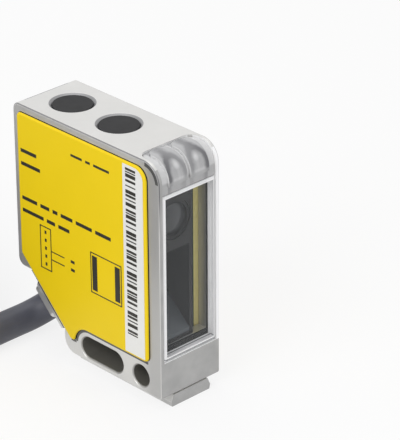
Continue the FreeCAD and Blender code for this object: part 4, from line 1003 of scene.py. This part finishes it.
class SENSOR_OT_boards(bpy.types.Operator):
    """Finish the boards and the parts on them"""

    bl_idname = "sensor.boards"
    bl_label = "Boards"

    def execute(self, context):
        dress(board_finish(), "main_board", "optics_board")
        dress(metal_finish("capacitor_can", (0.55, 0.55, 0.56)), "filter_capacitors")
        return {"FINISHED"}


class SENSOR_OT_cable_entry(bpy.types.Operator):
    """Finish the cable's end inside the housing"""

    bl_idname = "sensor.cable_entry"
    bl_label = "Cable entry"

    def execute(self, context):
        dress(metal_finish("clamp_metal", (0.5, 0.5, 0.5)), "cable_clamp")
        dress(rubber_finish("inner_sheath", colours().sheath, 0.5), "cable_inner_end")
        dress(moulded_finish("inner_cores", (0.3, 0.16, 0.08), 0.4), "inner_leads")
        return {"FINISHED"}


# Floor, surroundings and lamps

FLOOR_HALF = 3.0
# How far the floor turns white where it is seen, and the strength of the sky as a light.
FLOOR_WHITE = 0.8
SKY_LIGHT = 0.55
# Each lamp's name, place and size in metres, and power in watts.
LAMPS = (
    ("key_lamp", (-0.6, -0.1, 0.5), 0.5, 2.55),
    ("front_lamp", (0.15, -0.7, 0.3), 0.4, 0.25),
    ("top_lamp", (0.1, 0.1, 0.8), 0.6, 1.6),
)
LAMP_AIM = Vector((0, 0, 0.025))


def floor_finish():
    """Pale floor that looks white and keeps a little of the shade on it."""
    recipe = Recipe("pale_floor")
    base = recipe.shade(colours().floor, 0.01, 0.3)
    matt = {"Base Color": base, "Roughness": 0.9, "Specular IOR Level": 0.0}
    lit = recipe.add("ShaderNodeBsdfPrincipled", None, matt)
    white = recipe.add("ShaderNodeEmission", None, {"Color": WHITE, "Strength": 1.0})
    mix = {0: recipe.seen() * FLOOR_WHITE, 1: lit, 2: white}
    both = recipe.add("ShaderNodeMixShader", None, mix)
    recipe.add("ShaderNodeOutputMaterial", None, {"Surface": both}, None)
    return recipe.owner


def make_sky(world):
    """Even surroundings that are seen white and light the sensor less."""
    recipe = Recipe("studio", world)
    level = recipe.seen() * (1 - SKY_LIGHT) + SKY_LIGHT
    light = recipe.add("ShaderNodeBackground", None, {"Color": WHITE, "Strength": level})
    recipe.add("ShaderNodeOutputWorld", None, {"Surface": light}, None)


def make_lamp(name, place, size, power):
    """A soft square lamp that faces the sensor."""
    data = bpy.data.lights.new(name, "AREA")
    data.shape = "SQUARE"
    data.size = size
    data.energy = power
    lamp = add_object(name, data)
    lamp.location = place
    lamp.rotation_euler = (LAMP_AIM - Vector(place)).to_track_quat("-Z", "Y").to_euler()


class SENSOR_OT_stage(bpy.types.Operator):
    """Add the floor, the surroundings and the lamps"""

    bl_idname = "sensor.stage"
    bl_label = "Stage"

    def execute(self, context):
        mesh = bpy.data.meshes.new("floor")
        shape = bmesh.new()
        bmesh.ops.create_grid(shape, x_segments=1, y_segments=1, size=FLOOR_HALF)
        shape.to_mesh(mesh)
        shape.free()
        mesh.materials.append(floor_finish())
        floor = add_object("floor", mesh)

        context.scene.world = bpy.data.worlds.new("studio")
        make_sky(context.scene.world)
        for name, place, size, power in LAMPS:
            make_lamp(name, place, size, power)
        context.scene.view_settings.view_transform = "Standard"
        return {"FINISHED"}


# Add-on

OPERATORS = (
    SENSOR_OT_camera,
    SENSOR_OT_strap,
    SENSOR_OT_cable,
    SENSOR_OT_frame,
    SENSOR_OT_slope_rims,
    SENSOR_OT_covers,
    SENSOR_OT_window,
    SENSOR_OT_optics,
    SENSOR_OT_boards,
    SENSOR_OT_plugs,
    SENSOR_OT_cable_entry,
    SENSOR_OT_stage,
)


class SENSOR_PT_panel(bpy.types.Panel):
    bl_idname = "SENSOR_PT_panel"
    bl_label = "Through-beam sensor"
    bl_space_type = "VIEW_3D"
    bl_region_type = "UI"
    bl_category = "Sensor"

    def draw(self, context):
        for operator in OPERATORS:
            self.layout.operator(operator.bl_idname)
        for group in (context.scene.sensor_sizes, context.scene.sensor_colours):
            for name in group.__annotations__:
                self.layout.prop(group, name)


CLASSES = (SensorSizes, SensorColours, *OPERATORS, SENSOR_PT_panel)


def register():
    for item in CLASSES:
        bpy.utils.register_class(item)
    bpy.types.Scene.sensor_sizes = bpy.props.PointerProperty(type=SensorSizes)
    bpy.types.Scene.sensor_colours = bpy.props.PointerProperty(type=SensorColours)


def unregister():
    del bpy.types.Scene.sensor_colours
    del bpy.types.Scene.sensor_sizes
    for item in reversed(CLASSES):
        bpy.utils.unregister_class(item)


def main():
    register()
    for operator in OPERATORS:
        family, name = operator.bl_idname.split(".")
        getattr(getattr(bpy.ops, family), name)()


if __name__ == "__main__":
    main()
